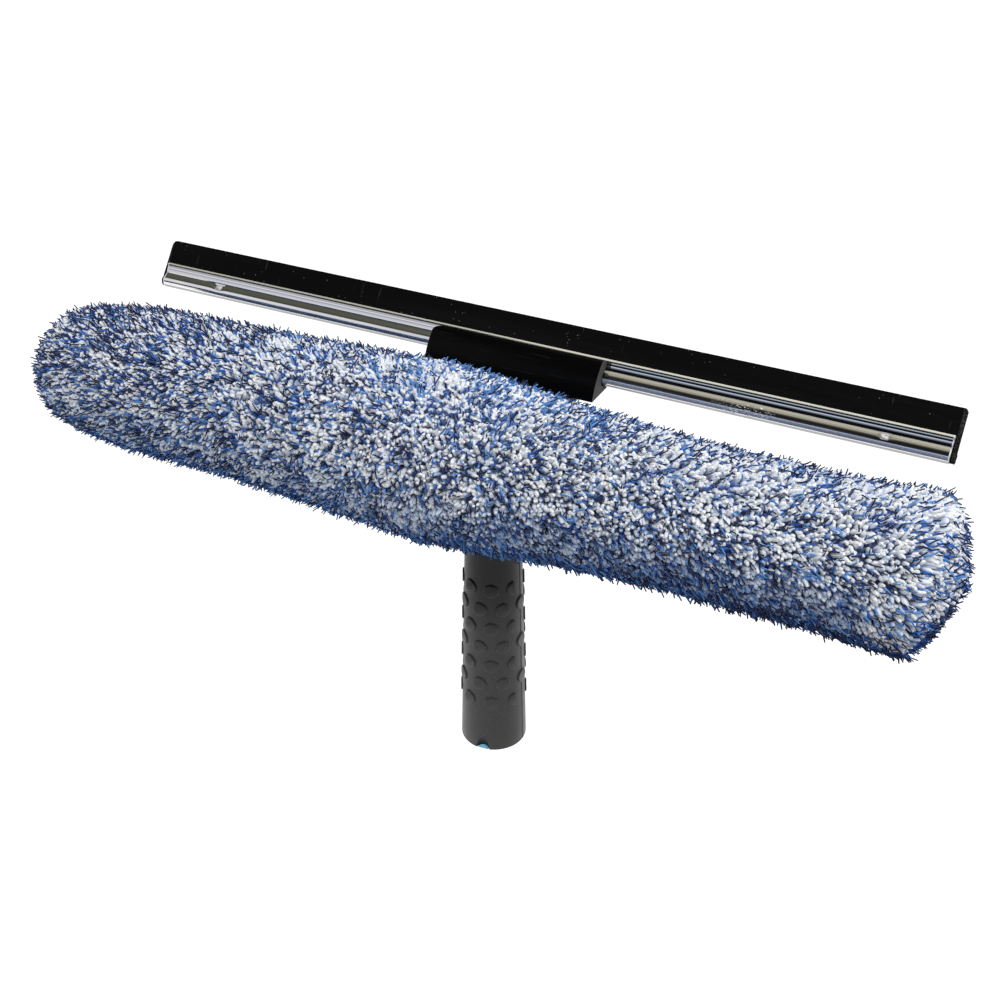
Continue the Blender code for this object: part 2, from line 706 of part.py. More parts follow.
def clip_screw_holes(name, radius, low, high):
    """Upright holes of one radius, one for each of the clip's screws."""
    y = clip_screw_y()
    bm = bmesh.new()
    for side in (-1, 1):
        x = side * CLIP_SCREW_X
        add_rod(bm, radius, (x, y, low), (x, y, high), sides=16)
    return mesh_of(bm, name)


def make_clip_screw(name, side, material):
    top = plate_span()[2]
    under = top - PLATE_THICKNESS - SEAT_GAP
    head = 2 * CLIP_SCREW_RADIUS
    tip = top + CLIP_SCREW_BITE
    points = [(0.0, tip), (CLIP_SCREW_RADIUS / 2, tip),
              (CLIP_SCREW_RADIUS, tip - CLIP_SCREW_RADIUS), (CLIP_SCREW_RADIUS, under),
              (head, under), (head, under - CLIP_SCREW_RADIUS / 2),
              (head - CLIP_SCREW_RADIUS / 2, under - CLIP_SCREW_RADIUS),
              (0.0, under - CLIP_SCREW_RADIUS)]
    screw = piece(name, profile(name, points, closed=False), material)
    turned(screw, 16)
    screw.location = (side * CLIP_SCREW_X, clip_screw_y(), 0.0)
    return screw


def clip_outline():
    center = (0.0, BEAD_RADIUS)
    seat = BEAD_RADIUS + SEAT_GAP
    face = FLANGE_HALF + SEAT_GAP
    lip_under = CHANNEL_HEIGHT - 2 * LIP_RADIUS - SEAT_GAP
    crown = (FLANGE_HALF + LIP_REACH + SEAT_GAP, lip_under)
    front = bowed((CLIP_FOOT_REACH, -CLIP_DROP), (CLIP_HEAD_REACH, CLIP_TOP), CLIP_BOW)
    shoulder = bowed((CLIP_HEAD_REACH, CLIP_TOP), crown, CLIP_SHOULDER_BOW, steps=3)[1:]
    groove_top = math.acos(face / CLIP_GROOVE_RADIUS)
    groove_low = -math.asin(seat / CLIP_GROOVE_RADIUS)
    groove = arc(center, CLIP_GROOVE_RADIUS, groove_top, groove_low)
    rear_low = -HALF_TURN + math.asin((BEAD_RADIUS - CLIP_REAR_TOP) / seat)
    rear = arc(center, seat, -QUARTER_TURN, rear_low, steps=4)
    back = [(-CLIP_REAR_REACH, CLIP_REAR_TOP), (-CLIP_REAR_REACH, CLIP_REAR_FOOT)]
    return front + shoulder + [(face, lip_under)] + groove + rear + back


def make_clip(material, blade_frame):
    mesh = extrusion("clip_body", [front_to_local(clip_outline())], CLIP_LENGTH / 2)
    clip = piece("clip_body", mesh, material, blade_frame)
    soften(clip, CLIP_EDGE)
    top = plate_span()[2]
    bores = clip_screw_holes("clip_bores", CLIP_SCREW_RADIUS + SEAT_GAP, top - CUT_OVERRUN,
                             top + CLIP_SCREW_BITE + SEAT_GAP)
    cut(clip, guide("clip_bores", bores))
    return clip


def channel_outline():
    """The rolled channel's section: a round bead, a valley, the flanges and a turned lip."""
    center = (0.0, BEAD_RADIUS)
    neck = math.acos(VALLEY_HALF / BEAD_RADIUS)
    outer = arc(center, BEAD_RADIUS, -QUARTER_TURN, neck, steps=10)
    flange_foot = outer[-1][1] + VALLEY_RISE
    lip_center = (FLANGE_HALF + LIP_REACH - LIP_RADIUS, CHANNEL_HEIGHT - LIP_RADIUS)
    outer += [(FLANGE_HALF, flange_foot), (FLANGE_HALF, CHANNEL_HEIGHT - 2 * LIP_RADIUS)]
    outer += arc(lip_center, LIP_RADIUS, -QUARTER_TURN, QUARTER_TURN, steps=6)
    inside = BEAD_RADIUS - CHANNEL_WALL
    inner = [(SLOT_HALF, CHANNEL_HEIGHT)]
    inner += arc(center, inside, math.acos(SLOT_HALF / inside), -QUARTER_TURN)
    right = outer + inner
    left = [(-n, t) for n, t in reversed(right)]
    return right[1:-1] + [right[-1]] + left[1:-1] + [right[0]]


def make_channel(material, blade_frame):
    mesh = extrusion("channel", [front_to_local(channel_outline())], CHANNEL_LENGTH / 2)
    channel = piece("channel", mesh, material, blade_frame)
    dents = bmesh.new()
    for side in (-1, 1):
        x = side * (CHANNEL_LENGTH / 2 - CRIMP_INSET)
        place = Matrix.Translation((x, -BEAD_RADIUS, BEAD_RADIUS))
        size = Matrix.Diagonal((CRIMP_LENGTH / 2, CRIMP_DEPTH, CRIMP_WIDTH / 2, 1.0))
        bmesh.ops.create_uvsphere(dents, u_segments=12, v_segments=8, radius=1.0,
                                  matrix=place @ size)
    cut(channel, guide("crimps", mesh_of(dents, "crimps"), blade_frame))
    return channel


def rubber_outline():
    bead = BEAD_RADIUS - CHANNEL_WALL - SEAT_GAP
    web = RUBBER_WEB / 2
    right = arc((0.0, BEAD_RADIUS), bead, -QUARTER_TURN, math.acos(web / bead))
    right += [(web, CHANNEL_HEIGHT), (RUBBER_EDGE / 2, RUBBER_HEIGHT)]
    left = [(-n, t) for n, t in reversed(right)]
    return right + left[:-1]


def make_rubber(material, blade_frame):
    half = CHANNEL_LENGTH / 2 + RUBBER_OVERHANG
    mesh = extrusion("rubber_blade", [front_to_local(rubber_outline())], half)
    rubber = piece("rubber_blade", mesh, material, blade_frame)
    center = (half - RUBBER_CORNER, RUBBER_HEIGHT - RUBBER_CORNER)
    past, above = half + CUT_OVERRUN, RUBBER_HEIGHT + CUT_OVERRUN
    corner = arc(center, RUBBER_CORNER, QUARTER_TURN, 0.0, steps=5)
    corner += [(past, center[1]), (past, above), (center[0], above)]
    for side, name in ((-1, "corner_left"), (1, "corner_right")):
        outline = [(side * x, z) for x, z in corner]
        cut(rubber, guide(name, deep_extrusion(name, [outline], RUBBER_WEB), blade_frame))
    return rubber


def relative_to_pin(points):
    return [(y - PIN_Y, z - PIN_Z) for y, z in points]


def jaw_outline():
    """The lever's wide upper jaw, behind the channel."""
    face_low = CLIP_REAR_TOP + RUN_GAP
    points = [(-JAW_FACE, face_low), (-JAW_FACE, JAW_TOP)]
    for behind, above in JAW_NOSE_SHARES:
        points.append((-JAW_FACE - JAW_THICKNESS * behind, JAW_TOP + JAW_THICKNESS * above))
    points.append((-JAW_FACE - JAW_THICKNESS * JAW_ROOT_SHARE, JAW_TOP / 2))
    front = blade_to_world(-CLIP_REAR_REACH - RUN_GAP, face_low)
    outline = [blade_to_world(n, t) for n, t in points]
    outline += [(PIN_Y + LEVER_BOSS_RADIUS / 2, front[1] - RUN_GAP), (front[0], front[1])]
    return relative_to_pin(outline)


def stem_outline():
    """The lever's stem, pin boss and thumb pad, from the jaw down."""
    step = CLIP_REAR_REACH + RUN_GAP
    front_top = blade_to_world(-step - RUN_GAP, CLIP_REAR_TOP + JAW_THICKNESS)
    front_low = blade_to_world(-step - RUN_GAP, CLIP_REAR_FOOT)
    rear_top = blade_to_world(-JAW_FACE - JAW_THICKNESS * STEM_ROOT_SHARE, JAW_TOP / 2)
    outline = relative_to_pin([rear_top])
    boss = LEVER_BOSS_RADIUS
    outline += arc((0.0, 0.0), boss, QUARTER_TURN / 3, -QUARTER_TURN / 6, steps=4)
    rear, front = [], []
    for drop, back in THUMB_SHARES:
        y, z = boss / 2 + back * THUMB_SET_BACK, -drop * THUMB_DROP
        rear.append((y + THUMB_THICKNESS / 2, z))
        front.append((y - THUMB_THICKNESS / 2, z))
    tip_center = (boss / 2 + THUMB_SET_BACK, -THUMB_DROP)
    tip = arc(tip_center, THUMB_THICKNESS / 2, 0.0, -HALF_TURN, steps=6)
    outline += rear[:-1] + tip + front[-2::-1]
    outline += arc((0.0, 0.0), boss, -QUARTER_TURN * 1.1, -QUARTER_TURN * 2.2, steps=6)
    outline += relative_to_pin([front_low, front_top])
    return outline


def thumb_sides():
    """What is cut off the stem's sides, so that the thumb pad narrows to a round end."""
    wide, narrow = LEVER_HALF_WIDTH, THUMB_TIP_HALF_WIDTH
    start, waist, rounding = [-THUMB_DROP * share for share in THUMB_WAIST_SHARES]
    below = -THUMB_DROP - THUMB_THICKNESS
    past = wide + CUT_OVERRUN
    corner = [(wide, start), (narrow, waist), (narrow, rounding),
              (narrow - THUMB_THICKNESS, below), (past, below), (past, start)]
    outlines = [[(side * x, z) for x, z in corner] for side in (-1, 1)]
    return deep_extrusion("thumb_sides", outlines, THUMB_SET_BACK + 2 * LEVER_BOSS_RADIUS)


def thumb_ridges():
    """Round ridges across the back of the thumb pad, along the slope of its lower part."""
    ridges = bmesh.new()
    drop, back = THUMB_SHARES[-1]
    drop_above, back_above = THUMB_SHARES[-2]
    slope = (back - back_above) * THUMB_SET_BACK / ((drop - drop_above) * THUMB_DROP)
    low_y = LEVER_BOSS_RADIUS / 2 + back * THUMB_SET_BACK + THUMB_THICKNESS / 2
    reach = THUMB_TIP_HALF_WIDTH * THUMB_RIDGE_SHARE
    for index in range(THUMB_RIDGES):
        rise = (index + 1) * THUMB_RIDGE_PITCH / 2
        y, z = low_y - slope * rise, rise - THUMB_DROP
        add_rod(ridges, THUMB_RIDGE_RADIUS, (-reach, y, z), (reach, y, z), sides=8)
    return mesh_of(ridges, "thumb_ridges")


def make_lever(material, pin_frame):
    mesh = extrusion("release_lever", [stem_outline()], LEVER_HALF_WIDTH)
    lever = piece("release_lever", mesh, material, pin_frame)
    jaw = guide("jaw", extrusion("jaw", [jaw_outline()], JAW_HALF_WIDTH), pin_frame)
    join(lever, jaw)
    cut(lever, guide("thumb_sides", thumb_sides(), pin_frame))
    join(lever, guide("thumb_ridges", thumb_ridges(), pin_frame))
    reach = LEVER_HALF_WIDTH + CUT_OVERRUN
    bore = rod("lever_bore", PIN_RADIUS + SEAT_GAP, (-reach, 0.0, 0.0), (reach, 0.0, 0.0), sides=16)
    cut(lever, guide("lever_bore", bore, pin_frame))
    coil = SPRING_COIL_RADIUS + SPRING_WIRE_RADIUS + RUN_GAP
    low = -SPRING_LEG - SPRING_COIL_RADIUS
    slot = box("spring_slot", (-SPRING_SLOT_HALF_WIDTH, -2 * LEVER_BOSS_RADIUS, low),
               (SPRING_SLOT_HALF_WIDTH, coil, coil))
    cut(lever, guide("spring_slot", slot, pin_frame))
    return lever


def make_jaw_pad(material, pin_frame):
    """The rubber strip on the jaw, which moves with the lever."""
    inner = -FLANGE_HALF - SEAT_GAP
    outer = inner - JAW_PAD_THICKNESS
    low, high = JAW_TOP - JAW_PAD_HEIGHT, JAW_TOP - SEAT_GAP
    points = [(inner, low), (inner, high), (outer, high), (outer, low)]
    outline = relative_to_pin([blade_to_world(n, t) for n, t in points])
    return piece("jaw_pad", extrusion("jaw_pad", [outline], JAW_PAD_HALF_WIDTH), material, pin_frame)


def make_lever_pin(material, pin_frame):
    start = -EAR_OUTER - SEAT_GAP
    end = EAR_OUTER + 2 * SEAT_GAP + 2 * RING_THICKNESS
    neck = start - PIN_HEAD_THICKNESS / 2
    mesh = rod("lever_pin", PIN_RADIUS, (neck, 0.0, 0.0), (end, 0.0, 0.0), sides=16)
    pin = piece("lever_pin", mesh, material, pin_frame)
    outer = start - PIN_HEAD_THICKNESS
    head = rod("pin_head", PIN_HEAD_RADIUS, (outer, 0.0, 0.0), (start, 0.0, 0.0), sides=20)
    join(pin, guide("pin_head", head, pin_frame))
    return pin


def make_pin_ring(material, pin_frame):
    start, end = RING_MOUTH / 2, FULL_TURN - RING_MOUTH / 2
    outline = arc((0.0, 0.0), RING_RADIUS, start, end, steps=16)
    outline += arc((0.0, 0.0), PIN_RADIUS + SEAT_GAP, end, start, steps=16)
    middle = EAR_OUTER + SEAT_GAP + RING_THICKNESS / 2
    mesh = extrusion("pin_ring", [outline], RING_THICKNESS / 2, middle)
    return piece("pin_ring", mesh, material, pin_frame)


def spring_path():
    """A leg down the thumb pad, the coil, and a leg to the fan's back, about the pin's axis."""
    count = SPRING_TURNS * SPRING_STEPS
    half_length = SPRING_PITCH * SPRING_TURNS / 2
    end = FULL_TURN * SPRING_TURNS + SPRING_FRONT_LEG
    coil = []
    for i in range(count + 1):
        angle = mix(0.0, end, i / count)
        coil.append(Vector((mix(-half_length, half_length, i / count),
                            SPRING_COIL_RADIUS * math.cos(angle),
                            SPRING_COIL_RADIUS * math.sin(angle))))
    first = coil[0] - Vector((0.0, 0.0, SPRING_LEG))
    last = coil[-1] + Vector((0.0, -math.sin(end), math.cos(end))) * SPRING_LEG
    return [first] + coil + [last]


def make_spring(material, pin_frame):
    points = spring_path()
    curve = bpy.data.curves.new("lever_spring", "CURVE")
    curve.dimensions = "3D"
    curve.bevel_depth = SPRING_WIRE_RADIUS
    curve.bevel_resolution = 1
    curve.use_fill_caps = True
    spline = curve.splines.new("POLY")
    spline.points.add(len(points) - 1)
    for point, place in zip(spline.points, points):
        point.co = (*place, 1.0)
    obj = bpy.data.objects.new("lever_spring", curve)
    TOOL.objects.link(obj)
    curve.materials.append(material)
    obj.parent = pin_frame
    apart = SPRING_STEPS // 2
    least = min((a - b).length for i, a in enumerate(points) for b in points[i + apart:])
    gap = least - 2 * SPRING_WIRE_RADIUS
    print(f"lever_spring: least gap between its turns {1000 * gap:.2f} mm")
    return obj


def make_neck_pin(material):
    reach = COLLAR_RADIUS - COLLAR_EDGE
    mesh = rod("neck_pin", NECK_PIN_RADIUS, (-reach, 0.0, NECK_PIN_Z), (reach, 0.0, NECK_PIN_Z),
               sides=16)
    return piece("neck_pin", mesh, material)


def oval(half_depth, half_height, count=BAR_STEPS):
    return [(half_depth * math.cos(FULL_TURN * (i + 0.5) / count),
             half_height * math.sin(FULL_TURN * (i + 0.5) / count)) for i in range(count)]


def make_bar(material, bar_frame):
    inner = oval(BAR_HALF_DEPTH - BAR_WALL, BAR_HALF_HEIGHT - BAR_WALL)
    mesh = extrusion("t_bar", [oval(BAR_HALF_DEPTH, BAR_HALF_HEIGHT), inner], BAR_LENGTH / 2)
    bar = piece("t_bar", mesh, material, bar_frame)
    low = (-BAR_PAD_HALF_LENGTH, BAR_PAD_FACE - BAR_BLOCK_DEPTH, -BAR_PAD_HALF_HEIGHT)
    high = (BAR_PAD_HALF_LENGTH, BAR_PAD_FACE, BAR_PAD_HALF_HEIGHT)
    join(bar, guide("bar_block", box("bar_block", low, high), bar_frame))
    slots = bmesh.new()
    first = -(BAR_SLOT_COUNT - 1) / 2 * BAR_SLOT_PITCH
    for row in (-1, 1):
        for index in range(BAR_SLOT_COUNT):
            x = first + index * BAR_SLOT_PITCH
            z = row * BAR_SLOT_RISE
            low = (x - BAR_SLOT_LENGTH / 2, -BAR_HALF_DEPTH - CUT_OVERRUN, z - BAR_SLOT_HEIGHT / 2)
            high = (x + BAR_SLOT_LENGTH / 2, -BAR_WALL, z + BAR_SLOT_HEIGHT / 2)
            add_box(slots, low, high)
    cut(bar, guide("water_slots", mesh_of(slots, "water_slots"), bar_frame))
    cut(bar, guide("bar_pilots", bar_screw_pilots(), bar_frame))
    return bar


def bar_screw_pilots():
    """Blind holes in the bar's block that the screws bite into."""
    bm = bmesh.new()
    for side in (-1, 1):
        x = side * BAR_SCREW_X
        add_rod(bm, BAR_SCREW_RADIUS + SEAT_GAP, (x, BAR_PAD_FACE + CUT_OVERRUN, 0.0),
                (x, BAR_PAD_FACE - BAR_SCREW_BITE - SEAT_GAP, 0.0), sides=16)
    return mesh_of(bm, "bar_pilots")


def bar_screw_holes():
    """Shank holes through the arm's flange."""
    bm = bmesh.new()
    for side in (-1, 1):
        x = side * BAR_SCREW_X
        add_rod(bm, BAR_SCREW_RADIUS + SEAT_GAP, (x, BAR_PAD_FACE - CUT_OVERRUN, 0.0),
                (x, FLANGE_BACK + CUT_OVERRUN, 0.0), sides=16)
    return mesh_of(bm, "bar_screw_holes")


def make_bar_screw(name, side, material, bar_frame):
    seat = FLANGE_BACK + SEAT_GAP
    tip = BAR_PAD_FACE - BAR_SCREW_BITE
    points = [(0.0, seat + BAR_SCREW_HEAD), (BAR_SCREW_CROWN, seat + BAR_SCREW_HEAD),
              (BAR_SCREW_HEAD_RADIUS, seat + BAR_SCREW_HEAD / 2), (BAR_SCREW_HEAD_RADIUS, seat),
              (BAR_SCREW_RADIUS, seat), (BAR_SCREW_RADIUS, tip + BAR_SCREW_RADIUS),
              (BAR_SCREW_RADIUS / 2, tip), (0.0, tip)]
    screw = piece(name, profile(name, points, closed=False), material, bar_frame)
    turned(screw, 16)
    screw.location = (side * BAR_SCREW_X, 0.0, 0.0)
    screw.rotation_euler = (-QUARTER_TURN, 0.0, 0.0)
    return screw


def cap_dome(lift):
    """Rings (x, half depth, half height) of the bar's domed end, lifted off it by lift."""
    start = BAR_LENGTH / 2 + SEAT_GAP
    rings = []
    for i in range(6):
        angle = QUARTER_TURN * i / 6
        rings.append((start + (BAR_CAP_REACH + lift) * math.sin(angle),
                      (BAR_HALF_DEPTH + lift) * math.cos(angle),
                      (BAR_HALF_HEIGHT + lift) * math.cos(angle)))
    return rings


def oval_skins(rings, side):
    return [[(side * x, y, z) for y, z in oval(depth, height)] for x, depth, height in rings]


def make_bar_cap(name, side, material, bar_frame):
    """A plug with a domed end for one end of the bar."""
    end = BAR_LENGTH / 2
    plug_depth = BAR_HALF_DEPTH - BAR_WALL - SEAT_GAP
    plug_height = BAR_HALF_HEIGHT - BAR_WALL - SEAT_GAP
    plug = [(end - BAR_CAP_PLUG, plug_depth, plug_height),
            (end + SEAT_GAP, plug_depth, plug_height)]
    return piece(name, loft(name, oval_skins(plug + cap_dome(0.0), side)), material, bar_frame)


def sleeve_rings():
    rings = []
    for along, radius in SLEEVE_SHARES:
        x = along * SLEEVE_LENGTH / 2
        r = radius * SLEEVE_RADIUS
        rings.append([(x, y, z) for y, z in oval(r, r, SLEEVE_SIDES)])
    return rings


def make_sleeve(material, bar_frame):
    sleeve = piece("washer_sleeve", loft("washer_sleeve", sleeve_rings()), material, bar_frame)
    dome = cap_dome(SEAT_GAP)
    cavity = oval_skins(dome[::-1], -1) + oval_skins(dome, 1)
    cut(sleeve, guide("sleeve_cavity", loft("sleeve_cavity", cavity), bar_frame))
    far = SLEEVE_RADIUS * 2
    half = CLOSURE_START + CLOSURE_LENGTH + CLOSURE_EDGE_MARGIN
    high = CLOSURE_HALF_HEIGHT + CLOSURE_EDGE_MARGIN
    recess = box("closure_room", (-half, CLOTH, -high), (half, far, high))
    room = guide("closure_room", recess, bar_frame)
    cloth = oval(CLOTH_HALF_DEPTH, CLOTH_HALF_HEIGHT)
    keep = extrusion("cloth_core", [cloth], half + CUT_OVERRUN)
    cut(room, guide("cloth_core", keep, bar_frame))
    cut(sleeve, room)
    window = box("arm_window", (-WINDOW_HALF_LENGTH, CLOTH, -WINDOW_HALF_HEIGHT),
                 (WINDOW_HALF_LENGTH, far, WINDOW_HALF_HEIGHT))
    cut(sleeve, guide("arm_window", window, bar_frame))
    reach = CLOSURE_START + CLOSURE_LENGTH
    slit = box("slit", (-reach, CLOTH, -SLIT_HEIGHT / 2), (reach, far, SLIT_HEIGHT / 2))
    cut(sleeve, guide("slit", slit, bar_frame))
    return sleeve


def on_cloth(z, lift):
    """A point (y, z) that lies lift outside the cloth's back, at one height."""
    height = CLOTH_HALF_HEIGHT + lift
    return ((CLOTH_HALF_DEPTH + lift) * math.sqrt(1 - (z / height) ** 2), z)


def band(low, high, inner, outer, steps=6):
    """The section of a strip that lies round the back of the cloth."""
    heights = [mix(low, high, i / steps) for i in range(steps + 1)]
    return ([on_cloth(z, inner) for z in heights]
            + [on_cloth(z, outer) for z in reversed(heights)])


def closure_middle(side):
    return side * (CLOSURE_START + CLOSURE_LENGTH / 2)


def make_hook_patch(name, side, material, bar_frame):
    low = -CLOSURE_HALF_HEIGHT
    section = band(low, low + PATCH_HEIGHT, SEAT_GAP, SEAT_GAP + PATCH_THICKNESS)
    mesh = extrusion(name, [section], CLOSURE_LENGTH / 2, closure_middle(side))
    return piece(name, mesh, material, bar_frame)


def make_closure_tab(name, side, material, bar_frame):
    """The cloth tab: sewn down above the slit, lying on the hook patch below it."""
    lift = 2 * SEAT_GAP + PATCH_THICKNESS
    low, high = -CLOSURE_HALF_HEIGHT + CLOTH, CLOSURE_HALF_HEIGHT
    step = low + PATCH_HEIGHT
    under = [on_cloth(mix(low, step, i / 4), lift) for i in range(5)]
    sewn = [on_cloth(mix(step + CLOTH, high, i / 4), SEAT_GAP) for i in range(5)]
    over = [on_cloth(mix(high, low, i / 8), lift + TAB_THICKNESS) for i in range(9)]
    mesh = extrusion(name, [under + sewn + over], CLOSURE_LENGTH / 2, closure_middle(side))
    return piece(name, mesh, material, bar_frame)


def build():
    soft_grey = finish("grip_elastomer", (0.065, 0.068, 0.068), 0.55)
    hard_grey = finish("head_plastic", (0.045, 0.046, 0.047), 0.45)
    sky_blue = finish("insert_plastic", (0.13, 0.52, 0.78), 0.35)
    gloss_black = finish("clip_plastic", (0.010, 0.010, 0.011), 0.18)
    stainless = finish("channel_steel", (0.78, 0.77, 0.75), 0.12, 1.0)
    pin_steel = finish("pin_steel", (0.62, 0.62, 0.62), 0.30, 1.0)
    rubber = finish("blade_rubber", (0.012, 0.012, 0.013), 0.50)
    bar_plastic = finish("bar_plastic", (0.30, 0.32, 0.34), 0.50)
    pile = finish("microfibre_pile", (0.42, 0.52, 0.74), 0.90)
    webbing = finish("closure_webbing", (0.03, 0.05, 0.16), 0.90)
    hook = finish("hook_tape", (0.02, 0.02, 0.03), 0.80)

    blade_frame = frame("blade_frame", (0.0, BEAD_Y, BEAD_Z), -BLADE_LEAN)
    pin_frame = frame("pin_frame", (0.0, PIN_Y, PIN_Z))
    bar_frame = frame("bar_frame", (0.0, BAR_Y, BAR_Z), -ARM_TILT)

    make_grip(soft_grey)
    make_handle_core(hard_grey)
    make_pole_insert(sky_blue)
    make_head(hard_grey, bar_frame)
    make_neck_pin(pin_steel)

    make_clip(gloss_black, blade_frame)
    make_clip_screw("clip_screw_left", -1, pin_steel)
    make_clip_screw("clip_screw_right", 1, pin_steel)
    make_channel(stainless, blade_frame)
    make_rubber(rubber, blade_frame)

    make_lever(gloss_black, pin_frame)
    make_jaw_pad(rubber, pin_frame)
    make_lever_pin(pin_steel, pin_frame)
    make_pin_ring(pin_steel, pin_frame)
    make_spring(pin_steel, pin_frame)

    make_bar(bar_plastic, bar_frame)
    for side, word in ((-1, "left"), (1, "right")):
        make_bar_cap(f"bar_cap_{word}", side, bar_plastic, bar_frame)
        make_bar_screw(f"bar_screw_{word}", side, pin_steel, bar_frame)
        make_hook_patch(f"hook_patch_{word}", side, hook, bar_frame)
        make_closure_tab(f"closure_tab_{word}", side, webbing, bar_frame)
    make_sleeve(pile, bar_frame)


build()
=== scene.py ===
"""Looks for the two-in-one window tool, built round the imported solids.

Lengths are in metres, in the solids' frame: X runs along the blade, +Y points to the back, which
is the squeegee's side, +Z points up, and the origin is the centre of the handle's foot.
"""

import json
import math

import bmesh
import bpy
from mathutils import Matrix, Vector, noise

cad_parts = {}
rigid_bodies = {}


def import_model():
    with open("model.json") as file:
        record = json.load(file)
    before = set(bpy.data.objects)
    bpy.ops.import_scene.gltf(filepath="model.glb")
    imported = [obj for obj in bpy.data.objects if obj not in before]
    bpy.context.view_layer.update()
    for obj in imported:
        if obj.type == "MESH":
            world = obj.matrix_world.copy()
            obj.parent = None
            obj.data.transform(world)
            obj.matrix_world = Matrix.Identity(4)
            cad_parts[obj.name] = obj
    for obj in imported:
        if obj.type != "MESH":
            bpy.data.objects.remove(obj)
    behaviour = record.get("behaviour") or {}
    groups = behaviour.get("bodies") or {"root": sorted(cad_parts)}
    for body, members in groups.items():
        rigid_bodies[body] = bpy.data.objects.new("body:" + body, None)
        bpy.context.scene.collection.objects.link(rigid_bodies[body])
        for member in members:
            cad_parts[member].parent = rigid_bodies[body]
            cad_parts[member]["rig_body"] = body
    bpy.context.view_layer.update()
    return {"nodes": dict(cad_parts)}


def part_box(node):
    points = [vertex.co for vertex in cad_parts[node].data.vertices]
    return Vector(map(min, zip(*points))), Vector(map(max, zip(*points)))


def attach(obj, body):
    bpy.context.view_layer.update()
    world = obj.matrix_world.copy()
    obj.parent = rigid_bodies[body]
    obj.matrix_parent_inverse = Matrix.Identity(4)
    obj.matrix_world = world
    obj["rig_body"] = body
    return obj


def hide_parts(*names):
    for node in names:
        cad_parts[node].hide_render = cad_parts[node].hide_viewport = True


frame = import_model()

HALF_TURN = math.pi
QUARTER_TURN = math.pi / 2
FULL_TURN = 2 * math.pi
SEAT_GAP = 0.0003
WELD = 0.00001
SMOOTH_ANGLE = math.radians(35.0)
ROUNDED_ANGLE = math.radians(50.0)
OVERRUN = 0.002
SIDES = ((-1, "left"), (1, "right"))

# Grip
GRIP_LENGTH = 0.150
GRIP_FOOT_RADIUS = 0.0188
GRIP_TOP_RADIUS = 0.0153
GRIP_WALL = 0.0024
GRIP_EDGE = 0.0011
BUMP_ROWS = 7
BUMP_TOP_MARGIN = 0.0398
BUMP_ROW_PITCH = 0.01263
BUMP_RADIUS = 0.0043
BUMP_HEIGHT = 0.0009
BUMP_STEP = math.radians(22.5)
BUMP_SIDE_EDGE = math.radians(1.0)
BUMP_ROUNDING = 0.0007
BUMP_SINK = 0.0003
SEAM_RADIUS = 0.00032
NOTCH_ANGLE = math.radians(7.0)
NOTCH_WIDTH = 0.0075
NOTCH_HEIGHT = 0.0020
SCOOP_WIDTH = 0.0084
SCOOP_HEIGHT = 0.0095
SCOOP_DEPTH = 0.0024
INSERT_RECESS = 0.0003

# Blade
BLADE_LEAN = math.radians(33.4)
BEAD_Y = 0.0237
BEAD_Z = 0.2286
CHANNEL_LENGTH = 0.450
CHANNEL_HEIGHT = 0.0128
SLOT_HALF = 0.0013
VALLEY_HALF = 0.0020
FLANGE_HALF = 0.0023
VALLEY_RISE = 0.0006
VALLEY_FOOT = 0.0070
BEAD_RADIUS = 0.0037
BEAD_RISE = 0.0029
BEAD_SHOULDER = math.radians(40.0)
BORE_RADIUS = 0.0028
BORE_RISE = 0.0027
LIP_RADIUS = 0.0007
LIP_REACH = 0.0008
LIP_SLOPE = math.radians(41.6)
FLANGE_BEND = 0.0090
FLANGE_FLARE = 0.0003
CRIMP_PLACES = (-0.1871, 0.1940)
CRIMP_LENGTH = 0.0100
CRIMP_DEPTH = 0.0005
CRIMP_AIM = 0.65
SCUFF_PLACE = 0.1255
RUBBER_HEIGHT = 0.0262
RUBBER_WEB = 0.0020
RUBBER_EDGE = 0.0016
RUBBER_CHAMFER = 0.00018
RUBBER_OVERHANGS = (0.0015, 0.0023)
RUBBER_CORNERS = (0.0030, 0.0014)
RUBBER_SWELL = 1.22
RUBBER_WAVE = 0.00025
RUBBER_NIBBLE = 0.00008
RUBBER_TEAR = 0.0006

# Clip
CLIP_LEFT_END = -0.0461
CLIP_RIGHT_END = 0.0508
CLIP_CORNER = 0.0022
CLIP_FOOT_REACH = 0.0094
CLIP_HEAD_REACH = 0.0088
CLIP_BOW = 0.0017
CLIP_SHOULDER_BOW = 0.0006
CLIP_DROP = 0.0110
CLIP_TOP = 0.0100
CLIP_REAR_REACH = 0.0059
CLIP_REAR_TOP = 0.00145
CLIP_REAR_FOOT = -CLIP_DROP + (CLIP_FOOT_REACH + CLIP_REAR_REACH) * math.tan(BLADE_LEAN)
CLIP_GROOVE_RADIUS = 0.0046
CLIP_EDGE = 0.0005

# Lever and its spring
PIN_Y = 0.0330
PIN_Z = 0.2185
SPRING_WIRE_RADIUS = 0.0005
SPRING_LEG_RADIUS = 0.97 * SPRING_WIRE_RADIUS
SPRING_COIL_RADIUS = 0.0027
SPRING_PITCH = 0.0016
SPRING_TURNS = 5
SPRING_STEPS = 28
SPRING_LEG = 0.0135
SPRING_FRONT_LEG = math.radians(143.0)

